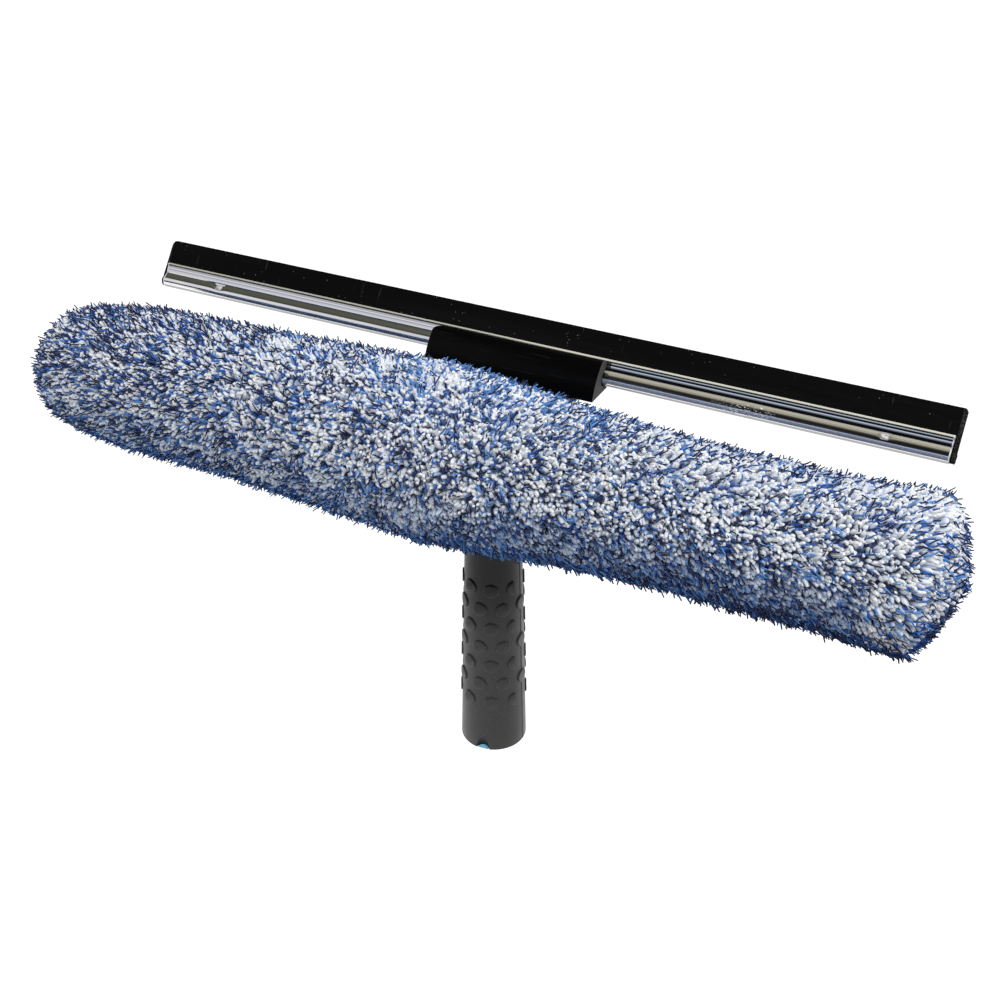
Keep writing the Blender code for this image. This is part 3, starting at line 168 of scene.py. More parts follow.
# Bar and washer sleeve
BAR_Y = -0.050
BAR_Z = 0.212
ARM_TILT = math.radians(33.0)
BAR_HALF_DEPTH = 0.0170
BAR_HALF_HEIGHT = 0.0210
BAR_END = 0.229
BAR_CAP_REACH = 0.0080
BAR_SCREW_OUT = 0.018
CLOTH = 0.0016
SLEEVE_HALF = 0.250
SLEEVE_RADIUS = 0.0370
WINDOW_HALF_LENGTH = 0.027
WINDOW_HALF_HEIGHT = 0.013
CLOSURE_START = 0.030
CLOSURE_LENGTH = 0.030
CLOSURE_HALF_HEIGHT = 0.015
CLOSURE_MARGIN = 0.003
PATCH_HEIGHT = 0.0120
PATCH_THICKNESS = 0.0009
TAB_THICKNESS = 0.0012
TAB_EDGE = 0.0003
TAB_PUFF = 0.00025
SLIT_HALF = 0.0008
PILE_DEPTH = 0.0062
PILE_SECTIONS = 6

# Bands over which the pile's looks change, in X and in height less PILE_SLANT times Y
PILE_SLANT = 0.62
LOW_SIDE = (BAR_Z + 0.066, BAR_Z + 0.044)
UNDERSIDE = (BAR_Z + 0.042, BAR_Z + 0.010)
RIGHTWARD = (-0.12, 0.16)
RIGHT_FACE = (0.205, 0.225)

# How far the sleeve has slid at its left and right, and how far its ends hang and rise, from
# where and over what run
SLIPS = (0.003, 0.0015)
SLIP_END = 0.2
SLIP_LEAN = 0.003
SAG_LEFT, SAG_START, SAG_RUN = 0.0028, 0.10, 0.15
LIFT_RIGHT, LIFT_START, LIFT_RUN = 0.0012, 0.15, 0.10

# Where the sleeve's outline lies: share of its half length, share of its radius
SLEEVE_SHARES = (
    (-0.998, 0.18), (-0.990, 0.34), (-0.978, 0.52), (-0.958, 0.70), (-0.934, 0.83),
    (-0.910, 0.90), (-0.858, 0.965), (-0.749, 1.065), (-0.499, 1.085), (-0.250, 1.145),
    (-0.100, 1.20), (0.0, 1.215), (0.120, 1.15), (0.250, 1.06), (0.499, 0.975),
    (0.749, 0.96), (0.858, 1.00), (0.910, 1.03), (0.938, 0.99), (0.958, 0.86),
    (0.974, 0.64), (0.987, 0.40), (0.998, 0.20),
)

# Camera and stage
CAMERA_PLACE = (0.31197, -0.60366, 0.57695)
CAMERA_TURN = (math.radians(90 - 31.63), 0.0, math.radians(27.03))
CAMERA_LENS = 53.917
CAMERA_SENSOR = 36.0
FLOOR_Z = -0.30
FLOOR_SIZE = 8.0
FLOOR_GLOW = 0.88

BLADE_PLACE = Matrix.Translation((0, BEAD_Y, BEAD_Z)) @ Matrix.Rotation(-BLADE_LEAN, 4, "X")
BAR_PLACE = Matrix.Translation((0, BAR_Y, BAR_Z)) @ Matrix.Rotation(-ARM_TILT, 4, "X")
PIN_PLACE = Matrix.Translation((0, PIN_Y, PIN_Z))


def plug(tree, value, socket):
    """Links a flow to a socket, or sets the socket to a plain value."""
    if isinstance(value, Flow):
        tree.links.new(value.socket, socket)
    else:
        socket.default_value = value


class Flow:
    """What comes out of a socket, written as a number in an expression."""

    def __init__(self, tree, socket):
        self.tree = tree
        self.socket = socket

    def beside(self, name):
        """Another output of the node that this one comes from."""
        return Flow(self.tree, self.socket.node.outputs[name])

    def through(self, kind, operation, values):
        node = self.tree.nodes.new(kind)
        node.operation = operation
        for value, socket in zip(values, node.inputs):
            plug(self.tree, value, socket)
        return node

    def math(self, operation, *values):
        return Flow(self.tree, self.through("ShaderNodeMath", operation, values).outputs[0])

    def vector(self, operation, *others):
        node = self.through("ShaderNodeVectorMath", operation, (self, *others))
        number = operation in ("DOT_PRODUCT", "LENGTH")
        return Flow(self.tree, node.outputs["Value" if number else 0])

    def across(self, normal):
        """What a vector has at right angles to a normal."""
        return self.vector("SUBTRACT", normal.scaled(self.vector("DOT_PRODUCT", normal)))

    def scaled(self, factor):
        node = self.through("ShaderNodeVectorMath", "SCALE", (self,))
        plug(self.tree, factor, node.inputs["Scale"])
        return Flow(self.tree, node.outputs[0])

    def __add__(self, other):
        return self.math("ADD", self, other)

    def __radd__(self, other):
        return self.math("ADD", other, self)

    def __sub__(self, other):
        return self.math("SUBTRACT", self, other)

    def __rsub__(self, other):
        return self.math("SUBTRACT", other, self)

    def __mul__(self, other):
        return self.math("MULTIPLY", self, other)

    def __rmul__(self, other):
        return self.math("MULTIPLY", other, self)

    def __truediv__(self, other):
        return self.math("DIVIDE", self, other)

    def __rtruediv__(self, other):
        return self.math("DIVIDE", other, self)

    def __pow__(self, other):
        return self.math("POWER", self, other)

    def __lt__(self, other):
        return self.math("LESS_THAN", self, other)

    def size(self):
        return self.math("ABSOLUTE", self)


class Graph:
    """A node tree that is filled by calls."""

    def __init__(self, tree):
        self.tree = tree

    def add(self, kind, inputs=None, out=0, stops=None, **settings):
        """One node: its settings first, then a ramp's stops, then its sockets' values or links."""
        node = self.tree.nodes.new(kind)
        for name, value in settings.items():
            setattr(node, name, value)
        if stops:
            points = node.color_ramp.elements
            while len(points) < len(stops):
                points.new(1.0)
            for point, (place, color) in zip(points, stops):
                point.position = place
                point.color = color
        for name, value in (inputs or {}).items():
            plug(self.tree, value, node.inputs[name])
        return Flow(self.tree, node.outputs[out])

    def within(self, value, low, high):
        """How far a value is from low to high, from 0 to 1, smoothly."""
        return self.add("ShaderNodeMapRange", {"Value": value, "From Min": low, "From Max": high},
                        interpolation_type="SMOOTHSTEP")

    def mix(self, factor, first, second):
        return self.add("ShaderNodeMix", {0: factor, 6: first, 7: second}, out=2, data_type="RGBA",
                        clamp_factor=True)

    def parts(self, vector):
        node = self.tree.nodes.new("ShaderNodeSeparateXYZ")
        plug(self.tree, vector, node.inputs[0])
        return [Flow(self.tree, socket) for socket in node.outputs]


def paint(red, green, blue):
    """A colour as seen on a screen, 0 to 255, as the linear colour of a socket."""
    def linear(level):
        share = level / 255
        return share / 12.92 if share <= 0.04045 else ((share + 0.055) / 1.055) ** 2.4
    return (linear(red), linear(green), linear(blue), 1.0)


def grey(level):
    return paint(level, level, level)


class Finish(Graph):
    """A material with one shader. What is the same all over is set on the shader's own sockets."""

    def __init__(self, name, **constants):
        self.material = bpy.data.materials.new(name)
        self.material.use_nodes = True
        super().__init__(self.material.node_tree)
        self.shader = self.tree.nodes["Principled BSDF"]
        self.relief = None
        for word, value in constants.items():
            self.shader.inputs[word.replace("_", " ")].default_value = value

    def feed(self, **values):
        for word, value in values.items():
            plug(self.tree, value, self.shader.inputs[word.replace("_", " ")])

    def place(self, stretch=(1.0, 1.0, 1.0), turn=(0.0, 0.0, 0.0)):
        """The piece's own coordinates, stretched for a pattern with a grain."""
        where = self.add("ShaderNodeTexCoord", out="Object")
        return self.add("ShaderNodeMapping", {"Vector": where, "Scale": stretch, "Rotation": turn})

    def place_parts(self):
        return self.parts(self.add("ShaderNodeTexCoord", out="Object"))

    def noise(self, scale, where=None, detail=2.0, roughness=0.5):
        return self.add("ShaderNodeTexNoise", {
            "Vector": where or self.place(), "Scale": scale, "Detail": detail,
            "Roughness": roughness})

    def specks(self, scale, size):
        """Small round dots, 1 in their middle."""
        distance = self.add("ShaderNodeTexVoronoi", {"Vector": self.place(), "Scale": scale})
        return 1 - self.within(distance, size / 2, size)

    def raise_by(self, height, distance, strength=1.0):
        """Relief: a height from 0 to 1 that stands for that distance."""
        inputs = {"Height": height, "Distance": distance, "Strength": strength}
        if self.relief:
            inputs["Normal"] = self.relief
        self.relief = self.add("ShaderNodeBump", inputs)
        self.feed(Normal=self.relief)


def grip_finish():
    """Matt dark elastomer with a fine speckle and dust in its grain; painted shade darkens its top
    under the sleeve, the hollow above the notch, and the foot's bottom edge.
    """
    skin = Finish("grip_elastomer_looks", Specular_IOR_Level=0.22, Sheen_Weight=0.34,
                  Sheen_Roughness=0.35)
    grain = skin.noise(2300, detail=3.0, roughness=0.7)
    patches = skin.noise(55, detail=3.0)
    dust = skin.specks(1100, 0.26) * skin.within(skin.noise(170), 0.42, 0.66)
    tone = skin.mix(skin.within(grain, 0.32, 0.72), grey(56), grey(80))
    tone = skin.mix(skin.within(patches, 0.35, 0.75) * 0.5, tone, paint(68, 68, 65))
    tone = skin.mix(dust * 0.55, tone, grey(120))
    x, y, z = skin.place_parts()
    slope = (GRIP_FOOT_RADIUS - GRIP_TOP_RADIUS) / GRIP_LENGTH
    deep = GRIP_FOOT_RADIUS - slope * z - (x * x + y * y) ** 0.5
    # Painted shade: the hollow above the notch is darkened almost to black.
    painted_hollow_shade = skin.within(deep, 0.0004, 0.0012) * (1 - skin.within(z, 0.010, 0.012))
    # Painted shadow: the grip is darkened towards its top, where the sleeve shades it.
    tone = skin.mix(skin.within(z, 0.070, 0.120) * 0.92, tone, grey(10))
    tone = skin.mix(painted_hollow_shade * 0.95, tone, grey(3))
    # Painted shade: a thin near-black band along the foot's bottom edge, which is rougher too.
    foot = 1 - skin.within(z, 0.0005, 0.0012)
    skin.feed(Base_Color=skin.mix(foot, tone, grey(3)),
              Roughness=0.31 + 0.15 * patches + 0.5 * foot)
    skin.raise_by(grain, 0.00010, 0.6)
    return skin.material


def moulded_finish(name, shine, tones, clouds, band, matt, grain, relief):
    """Moulded plastic: a satin spark texture, and clouds in its colour and its gloss.

    clouds is their scale and detail, band the part of them that goes from one tone to the other,
    matt the roughness and what they add to it, grain its scale and roughness.
    """
    plastic = Finish(name, Specular_IOR_Level=shine)
    cloud = plastic.noise(clouds[0], detail=clouds[1])
    plastic.feed(Base_Color=plastic.mix(plastic.within(cloud, *band) if band else cloud, *tones),
                 Roughness=matt[0] + matt[1] * cloud)
    plastic.raise_by(plastic.noise(grain[0], detail=3.0, roughness=grain[1]), *relief)
    return plastic.material


def head_finish():
    return moulded_finish("head_plastic_looks", 0.4, (grey(44), grey(54)), (28, 3.0), (0.3, 0.7),
                          (0.38, 0.16), (1900, 0.6), (0.00005, 0.35))


def insert_finish():
    return moulded_finish("insert_plastic_looks", 0.45,
                          (paint(126, 212, 248), paint(146, 226, 252)), (60, 4.0), (0.3, 0.7),
                          (0.32, 0.2), (900, 0.5), (0.00003, 0.3))


def bar_finish():
    return moulded_finish("bar_plastic_looks", 0.4,
                          (paint(138, 142, 148), paint(152, 156, 160)), (40, 3.0), None,
                          (0.45, 0.15), (1500, 0.5), (0.00004, 0.3))


def gloss_finish(name, left=-1.0, right=1.0):
    """Polished black plastic with dust and fine scratches, lighter grey and matt on its end faces.
    """
    plastic = Finish(name, Specular_IOR_Level=0.05)
    smears = plastic.noise(45, detail=4.0, roughness=0.6)
    scratches = plastic.noise(260, plastic.place((0.15, 3.0, 5.0), (0.0, 0.3, 0.5)), detail=1.0)
    scratched = plastic.within(scratches, 0.66, 0.72)
    dust = plastic.specks(420, 0.10) * plastic.within(plastic.noise(70), 0.50, 0.70)
    base = plastic.mix(dust * 0.5, grey(6), grey(60))
    base = plastic.mix(scratched * 0.06, base, grey(90))
    x = plastic.place_parts()[0]
    # The end faces are lighter grey and matt.
    end_faces = plastic.within((x - (left + right) / 2).size(), (right - left) / 2 - 0.0002,
                         (right - left) / 2)
    plastic.feed(Base_Color=plastic.mix(end_faces, base, grey(86)),
                 Roughness=0.18 + 0.16 * smears + 0.25 * scratched + 0.3 * end_faces)
    plastic.raise_by(smears, 0.00012, 0.25)
    return plastic.material


def steel_finish(name, tone, brush, shine):
    """Bright metal: faint drawn lines along the piece, smears, and scuffs in patches."""
    metal = Finish(name, Metallic=1.0)
    lines = metal.noise(brush, metal.place((0.02, 1.0, 1.0)), detail=3.0, roughness=0.6)
    smears = metal.noise(38, detail=4.0, roughness=0.6)
    scuffs = (metal.within(metal.noise(1500, metal.place((0.35, 1.0, 1.0)), detail=2.0), 0.60, 0.72)
              * metal.within(metal.noise(24), 0.56, 0.66))
    metal.feed(Base_Color=metal.mix(metal.within(smears, 0.25, 0.75), grey(tone - 14), grey(tone)),
               Roughness=shine + 0.10 * smears + 0.05 * lines + 0.30 * scuffs)
    metal.raise_by(lines, 0.00001, 0.2)
    metal.raise_by(metal.noise(18, metal.place((1.0, 0.5, 0.5)), detail=1.0), 0.0006, 0.5)
    metal.raise_by(scuffs, 0.00006, 0.5)
    return metal.material


def channel_finish():
    """Rolled steel: painted reflection bands, thin lines among them, up its flanges and bead, with
    a painted cream highlight on the lip's fold; a scuffed stretch, and bruised metal at its dents.

    Its right half also has a painted lavender reflection of the sleeve low on the bead, partly
    matt, and a painted matt cream highlight along the bead's straight crest.
    """
    metal = Finish("channel_steel_looks")
    x, y, z = metal.place_parts()
    up = (z - BEAD_Z) * math.cos(BLADE_LEAN) + (y - BEAD_Y) * math.sin(BLADE_LEAN)

    def lines(*stops):
        """Painted reflection bands: a grey for each height up the blade, in millimetres."""
        return metal.add("ShaderNodeValToRGB", {"Fac": (up + 0.002) / 0.016}, stops=[
            ((height + 2) / 16, grey(level)) for height, level in stops])

    # Painted reflection bands for the left and right halves, blended across the middle; both share
    # the pale foot.
    foot = ((0.0, 156), (0.3, 234))
    left = lines(*foot, (6.7, 234), (7.0, 204), (7.4, 236), (7.8, 236), (8.3, 216), (8.9, 212),
                 (9.2, 168), (9.4, 168), (9.7, 240), (10.0, 240), (10.3, 176), (10.5, 176),
                 (10.8, 212), (11.2, 206), (11.4, 140), (11.5, 56), (11.9, 56), (12.0, 236))
    right = lines(*foot, (2.4, 234), (2.6, 44), (3.1, 44), (3.4, 120), (4.2, 150), (5.2, 234),
                  (6.9, 234), (7.1, 56), (7.9, 44), (8.1, 118), (8.9, 134), (9.1, 222), (9.5, 222),
                  (9.7, 80), (10.5, 80), (10.65, 228), (11.0, 228), (11.15, 62), (11.55, 62),
                  (11.7, 236))
    smears = metal.noise(38, detail=4.0, roughness=0.6)
    grit = metal.noise(1300, metal.place((0.4, 1.0, 1.0)), detail=3.0, roughness=0.7)
    bead = 1 - metal.within(up, 0.0056, 0.0070)
    rubbed = (1 - metal.within((x - SCUFF_PLACE).size(), 0.005, 0.020)) * bead
    away = [(x - place).size() for place in CRIMP_PLACES]
    dent = x.math("MINIMUM", *away)
    bruise = (1 - metal.within(dent, 0.0011, 0.0026)) * metal.within(up, 0.0030, 0.0042) * bead
    scuffs = metal.within(grit, 0.56, 0.64) * rubbed + bruise * metal.within(grit, 0.36, 0.56)
    sawn = metal.within(x.size(), CHANNEL_LENGTH / 2 - 0.0007, CHANNEL_LENGTH / 2 - 0.0005)
    worn = x.math("MAXIMUM", scuffs, sawn)
    # Painted highlight: a matt cream line along the lip's fold.
    painted_lip_highlight = metal.within(up, 0.0118, 0.0120)
    # Right half only: a painted lavender reflection of the sleeve low on the bead, partly matt, and
    # a painted matt cream highlight along the bead's straight crest.
    right_half = metal.within(x, 0.0, 0.05)
    painted_sleeve_reflection = metal.within(up, 0.0003, 0.0007) * (1 - metal.within(up, 0.0023, 0.0027)) * right_half
    # Painted highlight: matt cream along the bead's straight crest.
    painted_crest_light = metal.within(up, 0.0055, 0.0058) * (1 - metal.within(up, 0.0067, 0.0070)) * right_half
    tone = metal.mix(metal.within(x, -0.03, 0.03), left, right)
    tone = metal.mix(metal.within(smears, 0.25, 0.75) * 0.08, tone, grey(190))
    tone = metal.mix(painted_lip_highlight, tone, paint(222, 220, 208))
    tone = metal.mix(painted_sleeve_reflection * 0.6, tone, paint(205, 216, 246))
    tone = metal.mix(painted_crest_light, tone, paint(196, 193, 178))
    matt = x.math("MAXIMUM", 0.7 * worn, 0.65 * painted_lip_highlight + 0.30 * painted_sleeve_reflection + 0.62 * painted_crest_light)
    metal.feed(Base_Color=metal.mix(worn, tone, grey(245)), Metallic=1 - matt,
               Roughness=0.05 + 0.05 * smears + 0.09 * bead + 0.40 * worn)
    metal.raise_by(metal.noise(14, metal.place((1.0, 0.5, 0.5)), detail=1.0), 0.0005, 0.5)
    metal.raise_by(scuffs, 0.00010, 0.7)
    return metal.material


def rubber_finish():
    """Black blade rubber with dust, wipe marks along it, light scratches and torn ends."""
    rubber = Finish("blade_rubber_looks", Specular_IOR_Level=0.04)
    x = rubber.place_parts()[0]
    wipes = rubber.noise(50, rubber.place((0.10, 1.0, 2.0)), detail=4.0, roughness=0.65)
    fine = rubber.noise(900, rubber.place((1.0, 0.07, 0.07), (0.0, 0.9, 0.0)), detail=1.0)
    scratched = rubber.within(fine, 0.70, 0.74) * rubber.within(rubber.noise(30), 0.50, 0.60)
    dust = rubber.specks(430, 0.13) * rubber.within(rubber.noise(90), 0.50, 0.62)
    torn = rubber.within(x.size(), CHANNEL_LENGTH / 2 + 0.0004, CHANNEL_LENGTH / 2 + 0.0008)
    pits = rubber.noise(1500, detail=3.0, roughness=0.7)
    base = rubber.mix(rubber.within(wipes, 0.40, 0.80), grey(11), grey(20))
    base = rubber.mix(scratched * 0.30, base, grey(96))
    base = rubber.mix(dust * 0.9, base, grey(132))
    rubber.feed(Base_Color=rubber.mix(torn, base, rubber.mix(
        rubber.within(pits, 0.42, 0.66), grey(12), grey(70))),
        Roughness=0.40 + 0.25 * wipes + 0.2 * torn)
    rubber.raise_by(rubber.noise(1400, detail=3.0), 0.00003, 0.3)
    rubber.raise_by(pits * torn, 0.0003, 0.8)
    return rubber.material


def low_side(graph, x, y, z):
    """1 on the sleeve's low front side, but for the face of its right end."""
    low = graph.within(z - PILE_SLANT * y, *LOW_SIDE)
    return low * (1 - graph.within(x, *RIGHT_FACE))


def yarn_finish(name, stops, pale, dark, share, fuzz, glow=0.0, painted_low_shade=0.0):
    """Pile yarn. Its map runs over a random number, then from the root to the tip.

    share is how much of the yarn is dark, fuzz the fineness of its fibres, glow how much light
    passes into it, and painted_low_shade how much painted shade it takes on the sleeve's low front
    side.
    """
    yarn = Finish(name, Sheen_Weight=0.25, Specular_IOR_Level=0.15, Roughness=0.85,
                  Subsurface_Weight=glow, Subsurface_Radius=(1.0, 1.0, 1.0),
                  Subsurface_Scale=0.0012)
    chance, along, _ = yarn.parts(yarn.add("ShaderNodeUVMap", uv_map="strand"))
    color = yarn.add("ShaderNodeValToRGB", {"Fac": along}, stops=stops)
    color = yarn.mix((1 - yarn.within(chance, share - 0.03, share)) * 0.9, color, dark)
    color = yarn.mix(yarn.within(chance, 0.60, 1.0) * 0.75, color, pale)
    x, y, z = yarn.place_parts()
    # Painted shade on the low front side: the yarn turns bluer there, and darker blue towards the
    # right.
    low = painted_low_shade * low_side(yarn, x, y, z)
    color = yarn.mix(low * 0.5, color, paint(156, 200, 250))
    color = yarn.mix(low * 0.9 * yarn.within(x, *RIGHTWARD), color, paint(74, 110, 170))
    yarn.feed(Base_Color=color)
    yarn.raise_by(yarn.noise(fuzz, detail=3.0, roughness=0.6), 0.5 / fuzz, 0.6)
    return yarn.material


def weave_finish(name, dark, light, threads):
    """Plain woven cloth: two crossing sets of threads."""
    cloth = Finish(name, Sheen_Weight=0.2, Specular_IOR_Level=0.2)
    across, along = [cloth.add("ShaderNodeTexWave", {
        "Vector": cloth.place(stretch), "Scale": threads, "Distortion": 0.6, "Detail Scale": 2.0},
        out="Fac", bands_direction=way) for way, stretch in (("X", (1.0, 1.0, 1.0)),
                                                             ("Z", (1.0, 1.0, 1.2)))]
    thread = across * along
    fuzz = cloth.noise(1200, detail=3.0)
    cloth.feed(Base_Color=cloth.mix(thread * 0.8 + 0.2 * fuzz, dark, light),
               Roughness=0.80 + 0.15 * fuzz)
    cloth.raise_by(thread, 0.0003, 0.7)
    cloth.raise_by(fuzz, 0.0001, 0.4)
    return cloth.material


def plain_mesh(name, bm, angle=SMOOTH_ANGLE):
    """A mesh from a finished bmesh, facing outwards, smooth but for its corners."""
    bmesh.ops.recalc_face_normals(bm, faces=bm.faces)
    mesh = bpy.data.meshes.new(name)
    bm.to_mesh(mesh)
    bm.free()
    return smoothed(mesh, angle)


def holder(name, data):
    obj = bpy.data.objects.new(name, data)
    bpy.context.scene.collection.objects.link(obj)
    return obj


def bake(obj):
    """Puts the result of an object's modifiers in its mesh and takes the modifiers off."""
    graph = bpy.context.evaluated_depsgraph_get()
    mesh = bpy.data.meshes.new_from_object(obj.evaluated_get(graph), depsgraph=graph)
    obj.modifiers.clear()
    obj.data = mesh
    return obj


def taken(obj):
    """An object's mesh, once the object itself is done with."""
    mesh = obj.data
    bpy.data.objects.remove(obj, do_unlink=True)
    return mesh


def smoothed(mesh, angle=SMOOTH_ANGLE):
    """Smooth faces with sharp edges where they turn by more than an angle."""
    mesh.shade_smooth()
    mesh.set_sharp_from_angle(angle=angle)
    return mesh


def bevelled(obj, width, segments, crease):
    """Rounds the edges at which faces turn by more than crease, in degrees."""
    bevel = obj.modifiers.new("edges", "BEVEL")
    bevel.width = width
    bevel.segments = segments
    bevel.limit_method = "ANGLE"
    bevel.angle_limit = math.radians(crease)
    return taken(bake(obj))


def combine(obj, mesh, operation):
    """Cuts another closed mesh from an object, or joins it on."""
    other = holder("other", mesh)
    modifier = obj.modifiers.new("other", "BOOLEAN")
    modifier.operation = operation
    modifier.solver = "EXACT"
    modifier.object = other
    bake(obj)
    bpy.data.objects.remove(other, do_unlink=True)
    return obj


def piece(name, mesh, material, body, replaced=()):
    """A finished piece of the tool, which moves with one body."""
    obj = holder(name, mesh)
    mesh.materials.clear()
    mesh.materials.append(material)
    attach(obj, body)
    if replaced:
        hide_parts(*replaced)
    return obj


def arc(center, radius, start, end, steps):
    angles = [start + (end - start) * i / steps for i in range(steps + 1)]
    return [(center[0] + radius * math.cos(a), center[1] + radius * math.sin(a)) for a in angles]


def bowed(start, end, bow, steps):
    """Points from start to end, bowed out to the right of the way."""
    run = Vector(end) - Vector(start)
    out = Vector((run.y, -run.x)).normalized()
    points = []
    for i in range(steps + 1):
        share = i / steps
        point = Vector(start) + run * share + out * bow * 4 * share * (1 - share)
        points.append((point.x, point.y))
    return points


def mix(a, b, share):
    return a + (b - a) * share


def skin(bm, rows):
    """The faces between rows of points that each go once round."""
    for low, high in zip(rows, rows[1:]):
        for i in range(len(low)):
            j = (i + 1) % len(low)
            bm.faces.new((low[i], low[j], high[j], high[i]))


def strip(name, outline, stations, change=None):
    """A closed outline of (y, z) points drawn out along X through its stations, with flat ends.

    change may move a point of a station: it takes and gives (x, y, z).
    """
    bm = bmesh.new()
    rows = []
    for x in stations:
        points = [(x, y, z) for y, z in outline]
        rows.append([bm.verts.new(change(point) if change else point) for point in points])
    skin(bm, rows)
    for row in (rows[0], rows[-1]):
        cap = bm.faces.new(row)
        bmesh.ops.triangulate(bm, faces=[cap])
    return plain_mesh(name, bm)


def lathe(name, profile, steps, place=None):
    """An open profile (radius, z) with its ends on the axis, or a closed one, turned round Z."""
    bm = bmesh.new()
    rows = []
    for radius, z in profile:
        if radius == 0:
            rows.append([bm.verts.new((0.0, 0.0, z))])
        else:
            rows.append([bm.verts.new((radius * math.cos(FULL_TURN * i / steps),
                                       radius * math.sin(FULL_TURN * i / steps), z))
                         for i in range(steps)])
    closed = len(rows[0]) > 1
    pairs = list(zip(rows, rows[1:])) + ([(rows[-1], rows[0])] if closed else [])
    for low, high in pairs:
        for i in range(steps):
            j = (i + 1) % steps
            if len(low) == 1:
                bm.faces.new((low[0], high[j], high[i]))
            elif len(high) == 1:
                bm.faces.new((low[i], low[j], high[0]))
            else:
                bm.faces.new((low[i], low[j], high[j], high[i]))
    if place:
        bm.transform(place)
    return plain_mesh(name, bm)


def spaced(low, high, step):
    count = max(1, round((high - low) / step))
    return [mix(low, high, i / count) for i in range(count + 1)]


def rod(name, radius, start, end, sides):
    """A round bar between two points."""
    start, end = Vector(start), Vector(end)
    run = end - start
    turn = run.to_track_quat("Z", "Y").to_matrix().to_4x4()
    bm = bmesh.new()
    bmesh.ops.create_cone(bm, cap_ends=True, segments=sides, radius1=radius, radius2=radius,
                          depth=run.length,
                          matrix=Matrix.Translation((start + end) / 2) @ turn)
    return plain_mesh(name, bm)


def ball(name, sizes, place):
    bm = bmesh.new()
    bmesh.ops.create_uvsphere(bm, u_segments=40, v_segments=24, radius=1.0,
                              matrix=place @ Matrix.Diagonal((*sizes, 1.0)))
    return plain_mesh(name, bm)


def tube(name, points, radius, sides, place):
    """A round wire along points, with domed ends."""
    points = [Vector(point) for point in points]
    first = (points[0] - points[1]).normalized() * radius
    last = (points[-1] - points[-2]).normalized() * radius
    path = [(points[0] + first, 0.15), (points[0] + first * 0.7, 0.7)]
    path += [(point, 1.0) for point in points]
    path += [(points[-1] + last * 0.7, 0.7), (points[-1] + last, 0.15)]
    bm = bmesh.new()
    side = (points[1] - points[0]).orthogonal().normalized()
    rows = []
    for index, (point, share) in enumerate(path):
        after = path[min(index + 1, len(path) - 1)][0]
        before = path[max(index - 1, 0)][0]
        run = (after - before).normalized()
        side = (side - run * side.dot(run)).normalized()
        other = run.cross(side)
        rows.append([bm.verts.new(point + radius * share * (
            side * math.cos(FULL_TURN * i / sides) + other * math.sin(FULL_TURN * i / sides)))
            for i in range(sides)])
    skin(bm, rows)
    bm.faces.new(rows[0])
    bm.faces.new(rows[-1])
    bm.transform(place)
    return plain_mesh(name, bm, math.radians(60))


class Recipe(Graph):
    """A Geometry Nodes tree with named inputs for its sizes."""

    KINDS = {int: "NodeSocketInt", float: "NodeSocketFloat"}

    def __init__(self, name, sizes):
        super().__init__(bpy.data.node_groups.new(name, "GeometryNodeTree"))
        face = self.tree.interface
        face.new_socket("Geometry", in_out="INPUT", socket_type="NodeSocketGeometry")
        face.new_socket("Geometry", in_out="OUTPUT", socket_type="NodeSocketGeometry")
        self.keys = {}
        for word, value in sizes.items():
            socket = face.new_socket(word, in_out="INPUT", socket_type=self.KINDS[type(value)])
            socket.default_value = value
            self.keys[word] = socket.identifier
        self.entry = self.tree.nodes.new("NodeGroupInput")

    def given(self, word):
        return Flow(self.tree, self.entry.outputs[word])

    def store(self, geometry, name, value, kind="FLOAT", domain="POINT"):
        return self.add("GeometryNodeStoreNamedAttribute",
                        {"Geometry": geometry, "Name": name, "Value": value},
                        data_type=kind, domain=domain)

    def stored(self, name, kind="FLOAT"):
        return self.add("GeometryNodeInputNamedAttribute", {"Name": name}, data_type=kind)

    def forget(self, geometry, *names):
        for name in names:
            geometry = self.add("GeometryNodeRemoveAttribute",
                                {"Geometry": geometry, "Name": name})
        return geometry

    def chance(self, low, high, number):
        """A random number for each point, from the recipe's own seed."""
        return self.add("FunctionNodeRandomValue", {
            2: low, 3: high, "Seed": self.given("Seed") + number}, out=1, data_type="FLOAT")

    def chances(self, reach, number):
        return self.add("FunctionNodeRandomValue", {
            0: (-reach,) * 3, 1: (reach,) * 3, "Seed": self.given("Seed") + number},
            data_type="FLOAT_VECTOR")

    def point(self, x, y, z):
        return self.add("ShaderNodeCombineXYZ", {"X": x, "Y": y, "Z": z})

    def finish(self, geometry, material):
        whole = self.add("GeometryNodeRealizeInstances", {"Geometry": geometry})
        whole = self.add("GeometryNodeSetMaterial", {"Geometry": whole, "Material": material})
        end = self.tree.nodes.new("NodeGroupOutput")
        plug(self.tree, whole, end.inputs["Geometry"])

    def run(self, mesh, **sizes):
        """The mesh that the recipe makes of another, with some of its sizes set."""
        obj = holder("recipe", mesh)
        modifier = obj.modifiers.new("recipe", "NODES")
        modifier.node_group = self.tree
        for word, value in sizes.items():
            modifier[self.keys[word.replace("_", " ")]] = value
        return taken(bake(obj))


def grip_radius(z):
    return mix(GRIP_FOOT_RADIUS, GRIP_TOP_RADIUS, z / GRIP_LENGTH)


